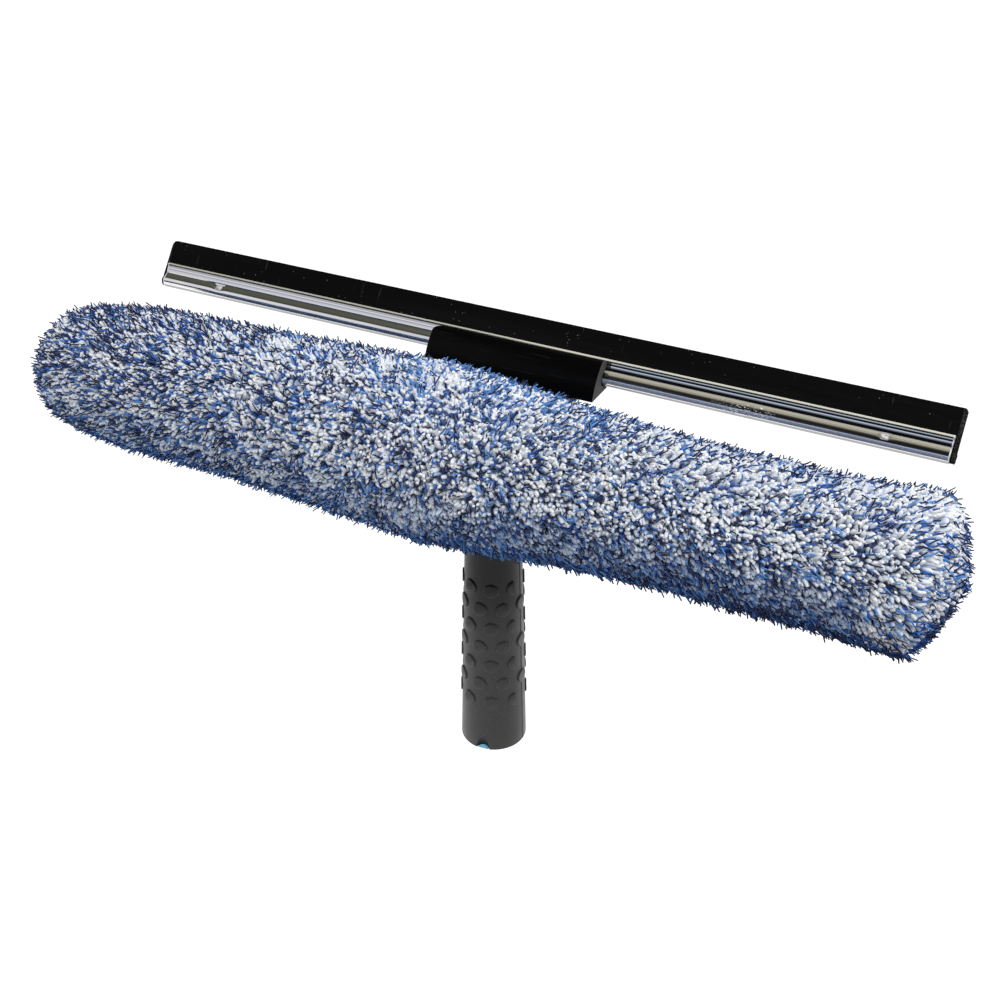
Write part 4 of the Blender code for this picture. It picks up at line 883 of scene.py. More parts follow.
def bump_recipe(material):
    """Low round discs, laid out flat in staggered rows and then wrapped round the grip."""
    recipe = Recipe("grip_bumps", {
        "Rows": BUMP_ROWS, "In Row": 8, "Top": GRIP_LENGTH - BUMP_TOP_MARGIN,
        "Pitch": BUMP_ROW_PITCH, "Step": BUMP_STEP, "Radius": BUMP_RADIUS,
        "Edge": BUMP_ROUNDING, "Height": BUMP_HEIGHT, "Sink": BUMP_SINK,
        "Foot Radius": GRIP_FOOT_RADIUS, "Top Radius": GRIP_TOP_RADIUS, "Length": GRIP_LENGTH,
        "Over Edge": BUMP_SIDE_EDGE})
    given = recipe.given
    deep = given("Height") + given("Sink")
    disc = recipe.add("GeometryNodeMeshCylinder", {
        "Vertices": 36, "Side Segments": 6, "Fill Segments": 1, "Radius": given("Radius"),
        "Depth": deep})
    x, y, z = recipe.parts(recipe.add("GeometryNodeInputPosition"))
    lift = z + deep / 2 - given("Sink")
    share = recipe.add("ShaderNodeClamp", {"Value": lift / given("Height")})
    squeeze = 1 - given("Edge") / given("Radius") * (1 - (1 - share * share) ** 0.5)
    disc = recipe.add("GeometryNodeSetPosition", {
        "Geometry": disc, "Position": recipe.point(x * squeeze, y * squeeze, lift)})
    spots = recipe.add("GeometryNodePoints", {"Count": given("Rows") * given("In Row")})
    number = recipe.add("GeometryNodeInputIndex")
    row = number.math("FLOOR", number / given("In Row"))
    column = (number - row * given("In Row")) * 2 + (1 - row.math("MODULO", row, 2.0))
    spots = recipe.store(spots, "column", column)
    spots = recipe.store(spots, "height", given("Top") - row * given("Pitch"))
    discs = recipe.add("GeometryNodeInstanceOnPoints", {"Points": spots, "Instance": disc})
    discs = recipe.add("GeometryNodeRealizeInstances", {"Geometry": discs})
    x, y, lift = recipe.parts(recipe.add("GeometryNodeInputPosition"))
    z = recipe.stored("height") + y
    radius = (given("Foot Radius")
              + (given("Top Radius") - given("Foot Radius")) * (z / given("Length")))
    column = recipe.stored("column")
    away = x / radius
    eighth = column.math("MODULO", column, 8.0)
    before_side = (eighth - 3).size() < 0.5
    past_side = (eighth - 5).size() < 0.5
    edge = given("Over Edge")
    away = away + before_side * (away.math("MINIMUM", away, edge) - away)
    away = away + past_side * (away.math("MAXIMUM", away, 0 - edge) - away)
    around = column * given("Step") + away
    out = radius + lift
    place = recipe.point(out * around.math("SINE", around),
                         0 - out * around.math("COSINE", around), z)
    discs = recipe.add("GeometryNodeSetPosition", {"Geometry": discs, "Position": place})
    recipe.finish(recipe.forget(discs, "column", "height"), material)
    return recipe


def notch_arch(start, end, slack):
    """A round bar across the grip's foot wall, whose part above the foot has the notch's shape."""
    outward = Vector((math.sin(NOTCH_ANGLE), -math.cos(NOTCH_ANGLE), 0.0))
    radius = (NOTCH_WIDTH ** 2 / 4 + NOTCH_HEIGHT ** 2) / (2 * NOTCH_HEIGHT)
    drop = Vector((0.0, 0.0, NOTCH_HEIGHT - radius))
    return rod("notch", radius - slack, outward * start + drop, outward * end + drop, 96)


def make_insert():
    """The coloured socket for a pole, with the tongue that fills the grip's notch."""
    insert = dressed("insert_socket", "pole_insert", insert_finish(), 0.0002, 2)
    inner = GRIP_FOOT_RADIUS - GRIP_WALL
    tongue = holder("tongue", notch_arch(inner - OVERRUN, GRIP_FOOT_RADIUS - 0.0007, SEAT_GAP))
    reach = 2 * GRIP_FOOT_RADIUS
    combine(tongue, slab("foot", (-reach, -reach, INSERT_RECESS), (reach, reach, 0.01)),
            "INTERSECT")
    combine(insert, taken(tongue), "UNION")
    smoothed(insert.data)


def make_grip():
    material = grip_finish()
    inner_foot = GRIP_FOOT_RADIUS - GRIP_WALL
    inner_top = GRIP_TOP_RADIUS - GRIP_WALL
    profile = arc((GRIP_TOP_RADIUS - GRIP_EDGE, GRIP_LENGTH - GRIP_EDGE), GRIP_EDGE,
                  QUARTER_TURN, 0.0, 6)
    profile += [(grip_radius(z), z) for z in spaced(GRIP_LENGTH - 0.01, 0.01, -0.005)]
    profile += arc((GRIP_FOOT_RADIUS - GRIP_EDGE, GRIP_EDGE), GRIP_EDGE, 0.0, -QUARTER_TURN, 6)
    profile += [(inner_foot, 0.0), (inner_top, GRIP_LENGTH)]
    grip = holder("grip_skin", lathe("grip_skin", profile, 144))
    combine(grip, bump_recipe(material).run(bpy.data.meshes.new("empty")), "UNION")
    for side, _ in SIDES:
        foot = (side * grip_radius(0.001), 0.0, 0.001)
        top = (side * grip_radius(GRIP_LENGTH - 0.001), 0.0, GRIP_LENGTH - 0.001)
        combine(grip, rod("seam", SEAM_RADIUS, foot, top, 8), "UNION")
    combine(grip, notch_arch(inner_foot - OVERRUN, GRIP_FOOT_RADIUS + OVERRUN, 0.0),
            "DIFFERENCE")
    turn = Matrix.Rotation(NOTCH_ANGLE, 4, "Z") @ Matrix.Translation((0, -GRIP_FOOT_RADIUS, 0))
    scoop = ball("scoop", (SCOOP_WIDTH / 2, SCOOP_DEPTH, SCOOP_HEIGHT), turn)
    combine(grip, scoop, "DIFFERENCE")
    bm = bmesh.new()
    bm.from_mesh(taken(grip))
    piece("grip_skin", plain_mesh("grip_skin", bm, math.radians(30)), material, "handle",
          ["grip"])


def welded(node):
    """A solid's surface as one skin, to be worked on."""
    bm = bmesh.new()
    bm.from_mesh(frame["nodes"][node].data)
    bmesh.ops.remove_doubles(bm, verts=bm.verts, dist=WELD)
    return bm


def dressed(name, node, material, width, segments):
    """Stands for a solid: its flat faces made whole and its edges rounded."""
    bm = welded(node)
    bmesh.ops.dissolve_limit(bm, angle_limit=math.radians(1.0), verts=bm.verts, edges=bm.edges)
    mesh = bevelled(holder(name, plain_mesh(name, bm)), width, segments, 30)
    mesh = smoothed(mesh, ROUNDED_ANGLE)
    return piece(name, mesh, material, frame["nodes"][node]["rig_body"], [node])


def moulded(name, node, material, voxel, rounds):
    """Stands for a solid: one skin with fillets in its inner corners, as from a mould."""
    obj = holder(name, plain_mesh(name, welded(node)))
    remesh = obj.modifiers.new("skin", "REMESH")
    remesh.mode = "VOXEL"
    remesh.voxel_size = voxel
    remesh.use_smooth_shade = True
    smooth = obj.modifiers.new("fillets", "SMOOTH")
    smooth.factor = 0.5
    smooth.iterations = rounds
    mesh = taken(bake(obj))
    mesh.shade_smooth()
    return piece(name, mesh, material, frame["nodes"][node]["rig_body"], [node])


def facing(points):
    """Points (n, t) with their first number the other way: to the other side, or to (y, z)."""
    return [(-n, t) for n, t in points]


def channel_side(shoulder):
    """One side of the rolled channel's section, (n outwards, t up the blade), from its foot.

    The bead is round up to its shoulder and runs straight on from there to the valley.
    """
    side = arc((0.0, BEAD_RISE), BEAD_RADIUS, -QUARTER_TURN, shoulder, 30)
    low = (VALLEY_HALF, VALLEY_FOOT)
    side.append(low)
    high = (FLANGE_HALF, low[1] + VALLEY_RISE)
    for step in range(1, 5):
        share = step / 5
        ease = share * share * (3 - 2 * share)
        side.append((mix(low[0], high[0], ease), mix(low[1], high[1], share)))
    side += [high, (FLANGE_HALF, FLANGE_BEND)]
    lip_foot = CHANNEL_HEIGHT - 2 * LIP_RADIUS
    for step in range(1, 7):
        share = step / 6
        side.append((FLANGE_HALF + FLANGE_FLARE * share * share,
                     mix(FLANGE_BEND, lip_foot, share)))
    nose = LIP_RADIUS / 3
    tip = (FLANGE_HALF + LIP_REACH - nose, lip_foot + nose)
    side += arc(tip, nose, -QUARTER_TURN, LIP_SLOPE, 8)
    rise = CHANNEL_HEIGHT - nose - tip[1]
    brow = (tip[0] - rise * math.tan(LIP_SLOPE), CHANNEL_HEIGHT - nose)
    side += arc(brow, nose, LIP_SLOPE, QUARTER_TURN, 6)
    return side


def channel_outline():
    """The rolled channel's section as (y, z) before it leans back."""
    front = channel_side(BEAD_SHOULDER)
    back = channel_side(math.acos(VALLEY_HALF / BEAD_RADIUS))
    inner = [(SLOT_HALF, CHANNEL_HEIGHT)]
    inner += arc((0.0, BORE_RISE), BORE_RADIUS, math.acos(SLOT_HALF / BORE_RADIUS),
                 -QUARTER_TURN, 14)
    left = facing(reversed(back[1:] + inner))
    return facing(front + inner + left[1:])


def crimped(point):
    """The channel's two dents, which hold the rubber: pressed into the bead's upper front."""
    x, y, z = point
    out = Vector((y, z - BEAD_RISE))
    aim = Vector((-math.cos(CRIMP_AIM), math.sin(CRIMP_AIM)))
    if out.length < WELD or out.length > 1.15 * BEAD_RADIUS:
        return point
    for place in CRIMP_PLACES:
        along = (x - place) / (CRIMP_LENGTH / 2)
        towards = max(0.0, out.normalized().dot(aim))
        push = CRIMP_DEPTH * math.exp(-along * along * 2.4) * towards ** 8
        out -= out.normalized() * push
    return (x, out.x, out.y + BEAD_RISE)


def make_channel():
    half = CHANNEL_LENGTH / 2
    near = [x for place in CRIMP_PLACES
            for x in spaced(place - CRIMP_LENGTH, place + CRIMP_LENGTH, 0.0004)]
    stations = [-half] + near + [half]
    mesh = strip("channel_steel_part", channel_outline(), stations, crimped)
    mesh.transform(BLADE_PLACE)
    piece("channel_rolled", mesh, channel_finish(), "blade", ["channel"])


def rubber_outline():
    bead = BORE_RADIUS - SEAT_GAP
    web, edge, chamfer = RUBBER_WEB / 2, RUBBER_EDGE / 2, RUBBER_CHAMFER
    right = arc((0.0, BORE_RISE), bead, -QUARTER_TURN, math.acos(web / bead), 12)
    right += [(web, mix(CHANNEL_HEIGHT, RUBBER_HEIGHT, share / 6)) for share in (0, 1, 2, 3)]
    right += [(edge, RUBBER_HEIGHT - chamfer), (edge - chamfer, RUBBER_HEIGHT)]
    left = facing(reversed(right))
    return facing(right + left[:-1])


def cut_rubber(point):
    """Rounded top corners, a slightly wavy free edge, and torn ends that swell at the channel."""
    x, y, z = point
    half = CHANNEL_LENGTH / 2 + RUBBER_OVERHANGS[x > 0]
    corner = RUBBER_CORNERS[x > 0]
    past = max(0.0, abs(x) - (half - corner))
    top = RUBBER_HEIGHT - corner + math.sqrt(max(0.0, corner ** 2 - past ** 2))
    free = max(0.0, z - CHANNEL_HEIGHT) / (RUBBER_HEIGHT - CHANNEL_HEIGHT)
    y += RUBBER_WAVE * free * noise.noise(Vector((x * 14, 0.0, 3.0)))
    z = min(z, top) - RUBBER_NIBBLE * free * abs(noise.noise(Vector((x * 160, 7.0, 0.0))))
    if abs(x) > CHANNEL_LENGTH / 2 + SEAT_GAP / 2:
        swell = RUBBER_SWELL + 0.10 * noise.noise(Vector((x * 2000, y * 500, z * 500)))
        y *= swell
        if z < BORE_RISE:
            z = BORE_RISE + (z - BORE_RISE) * swell
    if abs(x) > half - WELD:
        x += RUBBER_TEAR * noise.noise(Vector((y * 900, z * 300, x)))
    return (x, y, z)


def make_rubber():
    left, right = ([CHANNEL_LENGTH / 2 + out - size * (1 - math.sin(QUARTER_TURN * i / 8))
                    for i in range(9)] for out, size in zip(RUBBER_OVERHANGS, RUBBER_CORNERS))
    middle = spaced(-left[0], right[0], 0.003)
    stations = sorted({-x for x in left} | set(middle) | set(right)
                      | {side * (CHANNEL_LENGTH / 2 + SEAT_GAP) for side in (-1, 1)})
    mesh = strip("rubber", rubber_outline(), stations, cut_rubber)
    mesh.transform(BLADE_PLACE)
    piece("rubber_lip", mesh, rubber_finish(), "blade", ["rubber_blade"])


def clip_outline():
    seat = BEAD_RADIUS + SEAT_GAP
    floor = BEAD_RISE - seat
    face = FLANGE_HALF + SEAT_GAP
    lip_under = CHANNEL_HEIGHT - 2 * LIP_RADIUS - SEAT_GAP
    crown = (FLANGE_HALF + LIP_REACH + SEAT_GAP, lip_under)
    front = bowed((CLIP_FOOT_REACH, -CLIP_DROP), (CLIP_HEAD_REACH, CLIP_TOP), CLIP_BOW, 24)
    shoulder = bowed((CLIP_HEAD_REACH, CLIP_TOP), crown, CLIP_SHOULDER_BOW, 8)[1:]
    groove = arc((0.0, BEAD_RISE), CLIP_GROOVE_RADIUS, math.acos(face / CLIP_GROOVE_RADIUS),
                 math.asin((floor - BEAD_RISE) / CLIP_GROOVE_RADIUS), 20)
    rear_low = -HALF_TURN + math.asin((BEAD_RISE - CLIP_REAR_TOP) / seat)
    rear = arc((0.0, BEAD_RISE), seat, -QUARTER_TURN, rear_low, 12)
    back = [(-CLIP_REAR_REACH, CLIP_REAR_TOP), (-CLIP_REAR_REACH, CLIP_REAR_FOOT)]
    return facing(front + shoulder + [(face, lip_under)] + groove + rear + back)


def make_clip():
    soft = CLIP_TOP - CLIP_CORNER

    def trimmed(point):
        x, y, z = point
        if x < 0:
            x += CLIP_CORNER * max(0.0, (z - soft) / CLIP_CORNER) ** 2
        return (x, y, z)

    clip = strip("clip_shell", clip_outline(), [CLIP_LEFT_END, CLIP_RIGHT_END], trimmed)
    mesh = smoothed(bevelled(holder("clip_shell", clip), CLIP_EDGE, 4, 40), ROUNDED_ANGLE)
    mesh.transform(BLADE_PLACE)
    piece("clip_shell", mesh, gloss_finish("clip_plastic_looks", CLIP_LEFT_END, CLIP_RIGHT_END),
          "handle", ["clip_body"])


def make_spring(material):
    """The lever's spring: the coil with its front leg, and the rear leg, which the lever takes.

    The rear leg has the coil's first steps again, a little thinner, so that no gap opens there.
    """
    count = SPRING_TURNS * SPRING_STEPS
    half = SPRING_PITCH * SPRING_TURNS / 2
    end = FULL_TURN * SPRING_TURNS + SPRING_FRONT_LEG
    coil = [Vector((mix(-half, half, i / count),
                    SPRING_COIL_RADIUS * math.cos(end * i / count),
                    SPRING_COIL_RADIUS * math.sin(end * i / count))) for i in range(count + 1)]
    first = coil[0] - Vector((0.0, 0.0, SPRING_LEG))
    last = coil[-1] + Vector((0.0, -math.sin(end), math.cos(end))) * SPRING_LEG
    mesh = tube("spring_wire", coil[1:] + [last], SPRING_WIRE_RADIUS, 12, PIN_PLACE)
    piece("spring_wire", mesh, material, "handle", ["lever_spring"])
    mesh = tube("spring_leg", [first] + coil[:4], SPRING_LEG_RADIUS, 12, PIN_PLACE)
    piece("spring_leg", mesh, material, "release_lever")


def make_screw(name, node, material, place, head, seat, crown, shank, tip):
    """A cross-head screw along +Z from its seat, with its tip at a depth below."""
    profile = [(0.0, crown), (head * 0.45, crown * 0.97), (head * 0.78, crown * 0.72),
               (head * 0.97, crown * 0.30), (head, 0.05 * crown), (head, 0.0), (shank, 0.0)]
    ridges = int(tip / (1.1 * shank) * 2)
    for i in range(ridges):
        deep = 0.82 if i % 2 else 1.0
        profile.append((shank * deep, -tip * 0.12 - i * tip * 0.7 / ridges))
    profile += [(shank * 0.45, -tip * 0.94), (0.0, -tip)]
    screw = holder(name, lathe(name, profile, 48))
    for turn in (0.0, QUARTER_TURN):
        bm = bmesh.new()
        bmesh.ops.create_cone(bm, cap_ends=True, segments=4, radius1=head * 0.30,
                              radius2=head * 0.80, depth=crown * 1.4,
                              matrix=Matrix.Rotation(turn, 4, "Z")
                              @ Matrix.Translation((0.0, 0.0, crown * 0.95))
                              @ Matrix.Diagonal((1.0, 0.22, 1.0, 1.0))
                              @ Matrix.Rotation(QUARTER_TURN / 2, 4, "Z"))
        combine(screw, plain_mesh("drive", bm), "DIFFERENCE")
    mesh = smoothed(taken(screw))
    mesh.transform(place @ Matrix.Translation((0.0, 0.0, seat)))
    piece(name, mesh, material, "handle", [node])


def make_screws(steel):
    """Two screws up into the clip and two through the bar, seen from the sleeve's back."""
    for side, word in SIDES:
        low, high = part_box(f"clip_screw_{word}")
        middle = (low + high) / 2
        place = Matrix.Translation((middle.x, middle.y, 0.0)) @ Matrix.Rotation(HALF_TURN, 4, "X")
        crown = 0.0015
        make_screw(f"clip_fixing_{word}", f"clip_screw_{word}", steel, place, head=0.0030,
                   seat=-low.z - crown, crown=crown, shank=0.0015, tip=high.z - low.z - crown)
        place = (BAR_PLACE @ Matrix.Translation((side * BAR_SCREW_OUT, 0.0, 0.0))
                 @ Matrix.Rotation(-QUARTER_TURN, 4, "X"))
        make_screw(f"bar_fixing_{word}", f"bar_screw_{word}", steel, place, head=0.0034,
                   seat=0.0230, crown=0.0022, shank=0.0017, tip=0.0146)


def settled(point):
    """Where the sleeve's cloth has slid to the right and sagged on its bar."""
    x, y, z = point
    slid = SLIPS[x > 0] * min(1.0, abs(x) / SLIP_END) ** 2
    if x > SLIP_END:
        slid += SLIP_LEAN * (x - SLIP_END) / (SLEEVE_HALF - SLIP_END) * z / SLEEVE_RADIUS
    sag = SAG_LEFT * max(0.0, (-x - SAG_START) / SAG_RUN) ** 1.5
    lift = LIFT_RIGHT * max(0.0, (x - LIFT_START) / LIFT_RUN) ** 2
    return Vector((x + slid, y, z - (sag - lift)))


def sleeve_skin_line():
    """The sleeve's outline (x, radius) drawn in by the pile's depth, from tip to tip."""
    outer = [(-SLEEVE_HALF, 0.0)]
    outer += [(along * SLEEVE_HALF, share * SLEEVE_RADIUS) for along, share in SLEEVE_SHARES]
    outer.append((SLEEVE_HALF, 0.0))
    line = []
    for index in range(1, len(outer) - 1):
        run = Vector(outer[index + 1]) - Vector(outer[index - 1])
        out = Vector((-run.y, run.x)).normalized()
        x, radius = Vector(outer[index]) - out * PILE_DEPTH
        if radius > PILE_DEPTH / 3 and (not line or x > line[-1][0] + PILE_DEPTH / 4):
            line.append((x, radius))
    fine = [line[0]]
    for (x, radius), (next_x, next_radius) in zip(line, line[1:]):
        steps = max(1, round((next_x - x) / PILE_DEPTH))
        fine += [(mix(x, next_x, i / steps), mix(radius, next_radius, i / steps))
                 for i in range(1, steps + 1)]
    return fine


def oval(half_depth, half_height, count=64):
    return [(half_depth * math.cos(FULL_TURN * (i + 0.5) / count),
             half_height * math.sin(FULL_TURN * (i + 0.5) / count)) for i in range(count)]


def slab(name, low, high):
    """A box between two corners."""
    bm = bmesh.new()
    size = [b - a for a, b in zip(low, high)]
    middle = [(a + b) / 2 for a, b in zip(low, high)]
    bmesh.ops.create_cube(bm, size=1.0, matrix=Matrix.Translation(middle)
                          @ Matrix.Diagonal((*size, 1.0)))
    return plain_mesh(name, bm)


def make_sleeve_cloth():
    """The sleeve's cloth under the pile, with its room for the bar and its back opening."""
    line = sleeve_skin_line()
    tip = PILE_DEPTH / 4
    profile = [(0.0, line[0][0] - tip)] + [(r, x) for x, r in line] + [(0.0, line[-1][0] + tip)]
    along_x = Matrix.Rotation(QUARTER_TURN, 4, "Y")
    cloth = holder("sleeve_cloth", lathe("sleeve_cloth", profile, 72, along_x))
    for vertex in cloth.data.vertices:
        vertex.co = settled(vertex.co)
    grown = cloth.data.copy()

    rings = [(BAR_END + SEAT_GAP, 1.0)]
    rings += [(BAR_END + (BAR_CAP_REACH + SEAT_GAP) * math.sin(QUARTER_TURN * i / 8),
               math.cos(QUARTER_TURN * i / 8)) for i in range(1, 8)]
    cavity = bmesh.new()
    rows = []
    for x, share in [(-x, share) for x, share in reversed(rings)] + rings:
        ring = oval((BAR_HALF_DEPTH + SEAT_GAP) * share, (BAR_HALF_HEIGHT + SEAT_GAP) * share)
        rows.append([cavity.verts.new((x, y, z)) for y, z in ring])
    skin(cavity, rows)
    cavity.faces.new(rows[0])
    cavity.faces.new(rows[-1])
    combine(cloth, plain_mesh("cavity", cavity), "DIFFERENCE")

    half = CLOSURE_START + CLOSURE_LENGTH + CLOSURE_MARGIN
    high = CLOSURE_HALF_HEIGHT + CLOSURE_MARGIN
    far = 2 * SLEEVE_RADIUS
    room = holder("room", slab("room", (-half, CLOTH, -high), (half, far, high)))
    core = oval(BAR_HALF_DEPTH + SEAT_GAP + CLOTH, BAR_HALF_HEIGHT + SEAT_GAP + CLOTH)
    combine(room, strip("core", core, [-half - OVERRUN, half + OVERRUN]), "DIFFERENCE")
    combine(cloth, taken(room), "DIFFERENCE")
    combine(cloth, slab("window", (-WINDOW_HALF_LENGTH, CLOTH, -WINDOW_HALF_HEIGHT),
                        (WINDOW_HALF_LENGTH, far, WINDOW_HALF_HEIGHT)), "DIFFERENCE")
    reach = CLOSURE_START + CLOSURE_LENGTH
    combine(cloth, slab("slit", (-reach, CLOTH, -SLIT_HALF), (reach, far, SLIT_HALF)), "DIFFERENCE")
    mesh = smoothed(taken(cloth))
    mesh.transform(BAR_PLACE)
    # The cloth's dark blue-grey is partly its own colour and partly painted shade in the gaps
    # between the yarns.
    sleeve = piece("sleeve_cloth", mesh,
                   weave_finish("cloth_looks", paint(70, 86, 130), paint(168, 182, 214), 150),
                   "handle", ["washer_sleeve"])

    bm = bmesh.new()
    bm.from_mesh(grown)
    bpy.data.meshes.remove(grown)
    open_faces = [face for face in bm.faces
                  if abs(face.calc_center_median().x) < half
                  and abs(face.calc_center_median().z) < high
                  and face.calc_center_median().y > 0]
    bmesh.ops.delete(bm, geom=open_faces, context="FACES")
    bm.transform(BAR_PLACE)
    ground = bpy.data.meshes.new("pile_ground")
    bm.to_mesh(ground)
    bm.free()
    ground.shade_smooth()
    return ground


def pile_recipe():
    """Yarns that grow out of the cloth, rise, and lie over in combed patches."""
    recipe = Recipe("pile", {
        "Low": 0.0, "High": 0.0, "Spacing": 0.00134, "Height": 0.0056, "Sweep": 0.0034,
        "Arch": 0.4, "Uneven": 0.22, "Hills": 0.20, "Recede": 0.30, "Clump Scale": 76.0,
        "Clump Pull": 0.10, "Valleys": 0.0, "Comb": 1.3, "Drift": 0.5, "Jitter": 0.6,
        "Curl": 0.0006, "Radius": 0.00106, "Swell": 0.25, "Taper": 0.5, "Segments": 3, "Sides": 5,
        "Painted Light": 0.0, "Painted Shade": 0.0, "Seed": 3})
    given = recipe.given
    place = recipe.add("GeometryNodeInputPosition")
    x, y, z = recipe.parts(place)

    away = recipe.add("ShaderNodeTexVoronoi", {"Vector": place, "Scale": given("Clump Scale")},
                      out="Distance")
    middle = away.beside("Position")
    broad = recipe.add("ShaderNodeTexNoise", {"Vector": place, "Scale": 26.0, "Detail": 2.0})

    under = recipe.within(z - PILE_SLANT * y, *UNDERSIDE)
    left = recipe.within(x, 0.05, -0.24)
    right = recipe.within(x, 0.05, 0.20)
    blue = 0.7 * recipe.within(away, 0.18, 0.54) + (0.55 + 0.25 * right) * under + 0.30 * left
    blue = blue + (1.5 - 0.7 * right) * (broad - 0.5) + 0.05 - 0.16 * right * (1 - under)
    painted_crest_light = (1 - recipe.within((x - 0.02).size(), 0.03, 0.08)) * recipe.within(
        z, BAR_Z + 0.020, BAR_Z + 0.036)
    # Painted shade, in part: extra blue strands on the right low side, where the underside lies in
    # shade.
    blue = blue + 0.42 * low_side(recipe, x, y, z) * recipe.within(x, *RIGHTWARD)
    share = recipe.add("ShaderNodeClamp", {"Value": blue, "Min": 0.14, "Max": 1.0})
    points = recipe.add("GeometryNodeDistributePointsOnFaces", {
        "Mesh": given("Geometry"), "Distance Min": given("Spacing"),
        "Density Max": 0.9 / (given("Spacing") * given("Spacing")),
        "Density Factor": 1 - given("Valleys") * (1 - share), "Seed": given("Seed")},
        out="Points", distribute_method="POISSON")
    points = recipe.store(points, "outward", points.beside("Normal"), "FLOAT_VECTOR")
    outside = x.math("MAXIMUM", x < given("Low"), 1 - (x < given("High")))
    points = recipe.add("GeometryNodeDeleteGeometry", {"Geometry": points, "Selection": outside},
                        domain="POINT")

    outward = recipe.stored("outward", "FLOAT_VECTOR")
    side = x / SLEEVE_HALF
    comb = recipe.point((side + 0.12) * given("Comb"), 0.0, 0.0)
    drift = recipe.add("ShaderNodeTexNoise", {"Vector": place, "Scale": 34.0, "Detail": 2.0},
                       out="Color").vector("SUBTRACT", (0.5, 0.5, 0.5))
    lean = comb.vector("ADD", drift.scaled(given("Drift") * 4))
    lean = lean.vector("ADD", recipe.chances(1.0, 1).scaled(given("Jitter")))
    lean = lean.across(outward)
    length = lean.vector("LENGTH")
    sweep = given("Sweep") * recipe.chance(0.55, 1.25, 5) / (length + 0.15)
    pull = middle.vector("SUBTRACT", place).scaled(given("Clump Pull")).across(outward)
    points = recipe.store(points, "lean", lean.scaled(sweep).vector("ADD", pull), "FLOAT_VECTOR")
    points = recipe.store(points, "curl", recipe.chances(1.0, 2).scaled(given("Curl")),
                          "FLOAT_VECTOR")
    reach = given("Height") * (1 - given("Uneven") * recipe.chance(0.0, 1.0, 3))
    # White tufts are shorter on the underside, more so at the right, partly as painted shade there.
    reach = reach * (1 - given("Recede") * under * (1 + 0.8 * right))
    reach = reach * (1 + given("Hills") * (0.34 - away)) * (1 + 0.25 * (broad - 0.5))
    points = recipe.store(points, "reach", reach)
    # Painted light and shade: strands turn paler, and a little thicker, on the underside but for
    # its right and along the top's crest, and darker on the right underside and the left's upper
    # side.
    shade = recipe.chance(0.0, 1.0, 4) + given("Painted Light") * (under * (1 - 1.5 * right) + painted_crest_light)
    shade = shade - given("Painted Shade") * left * (1 - under)
    points = recipe.store(points, "shade", recipe.add("ShaderNodeClamp", {"Value": shade}))

    line = recipe.add("GeometryNodeCurvePrimitiveLine", {"Start": (0, 0, 0), "End": (0, 0, 1)})
    line = recipe.add("GeometryNodeResampleCurve", {"Curve": line, "Count": given("Segments") + 1})
    yarns = recipe.add("GeometryNodeInstanceOnPoints", {"Points": points, "Instance": line})
    yarns = recipe.add("GeometryNodeRealizeInstances", {"Geometry": yarns})
    along = recipe.add("GeometryNodeSplineParameter")
    yarns = recipe.store(yarns, "along", along)
    along = recipe.stored("along")
    rise = along * (1 + given("Arch") - given("Arch") * along)
    offset = outward.scaled(rise * recipe.stored("reach"))
    offset = offset.vector("ADD", recipe.stored("lean", "FLOAT_VECTOR").scaled(along ** 1.7))
    offset = offset.vector("ADD", recipe.stored("curl", "FLOAT_VECTOR").scaled(
        along * (along - 0.3) * (along - 0.75) * 8))
    offset = offset.vector("SUBTRACT", recipe.point(0.0, 0.0, along))
    yarns = recipe.add("GeometryNodeSetPosition", {"Geometry": yarns, "Offset": offset})
    ring = recipe.add("GeometryNodeCurvePrimitiveCircle", {"Resolution": given("Sides"),
                                                           "Radius": given("Radius")})
    width = (1 + given("Swell") * along) * (1 - given("Taper") * along ** 6)
    width = width * (0.85 + 0.3 * recipe.stored("shade"))
    yarns = recipe.add("GeometryNodeCurveToMesh", {
        "Curve": yarns, "Profile Curve": ring, "Scale": width, "Fill Caps": True})
    yarns = recipe.add("GeometryNodeSetShadeSmooth", {"Geometry": yarns})
    chart = recipe.point(recipe.stored("shade"), recipe.stored("along"), 0.0)
    for name in ("strand", "OFBake"):
        yarns = recipe.store(yarns, name, chart, "FLOAT2", "CORNER")
    return recipe, recipe.forget(yarns, "outward", "lean", "curl", "reach", "shade", "along")


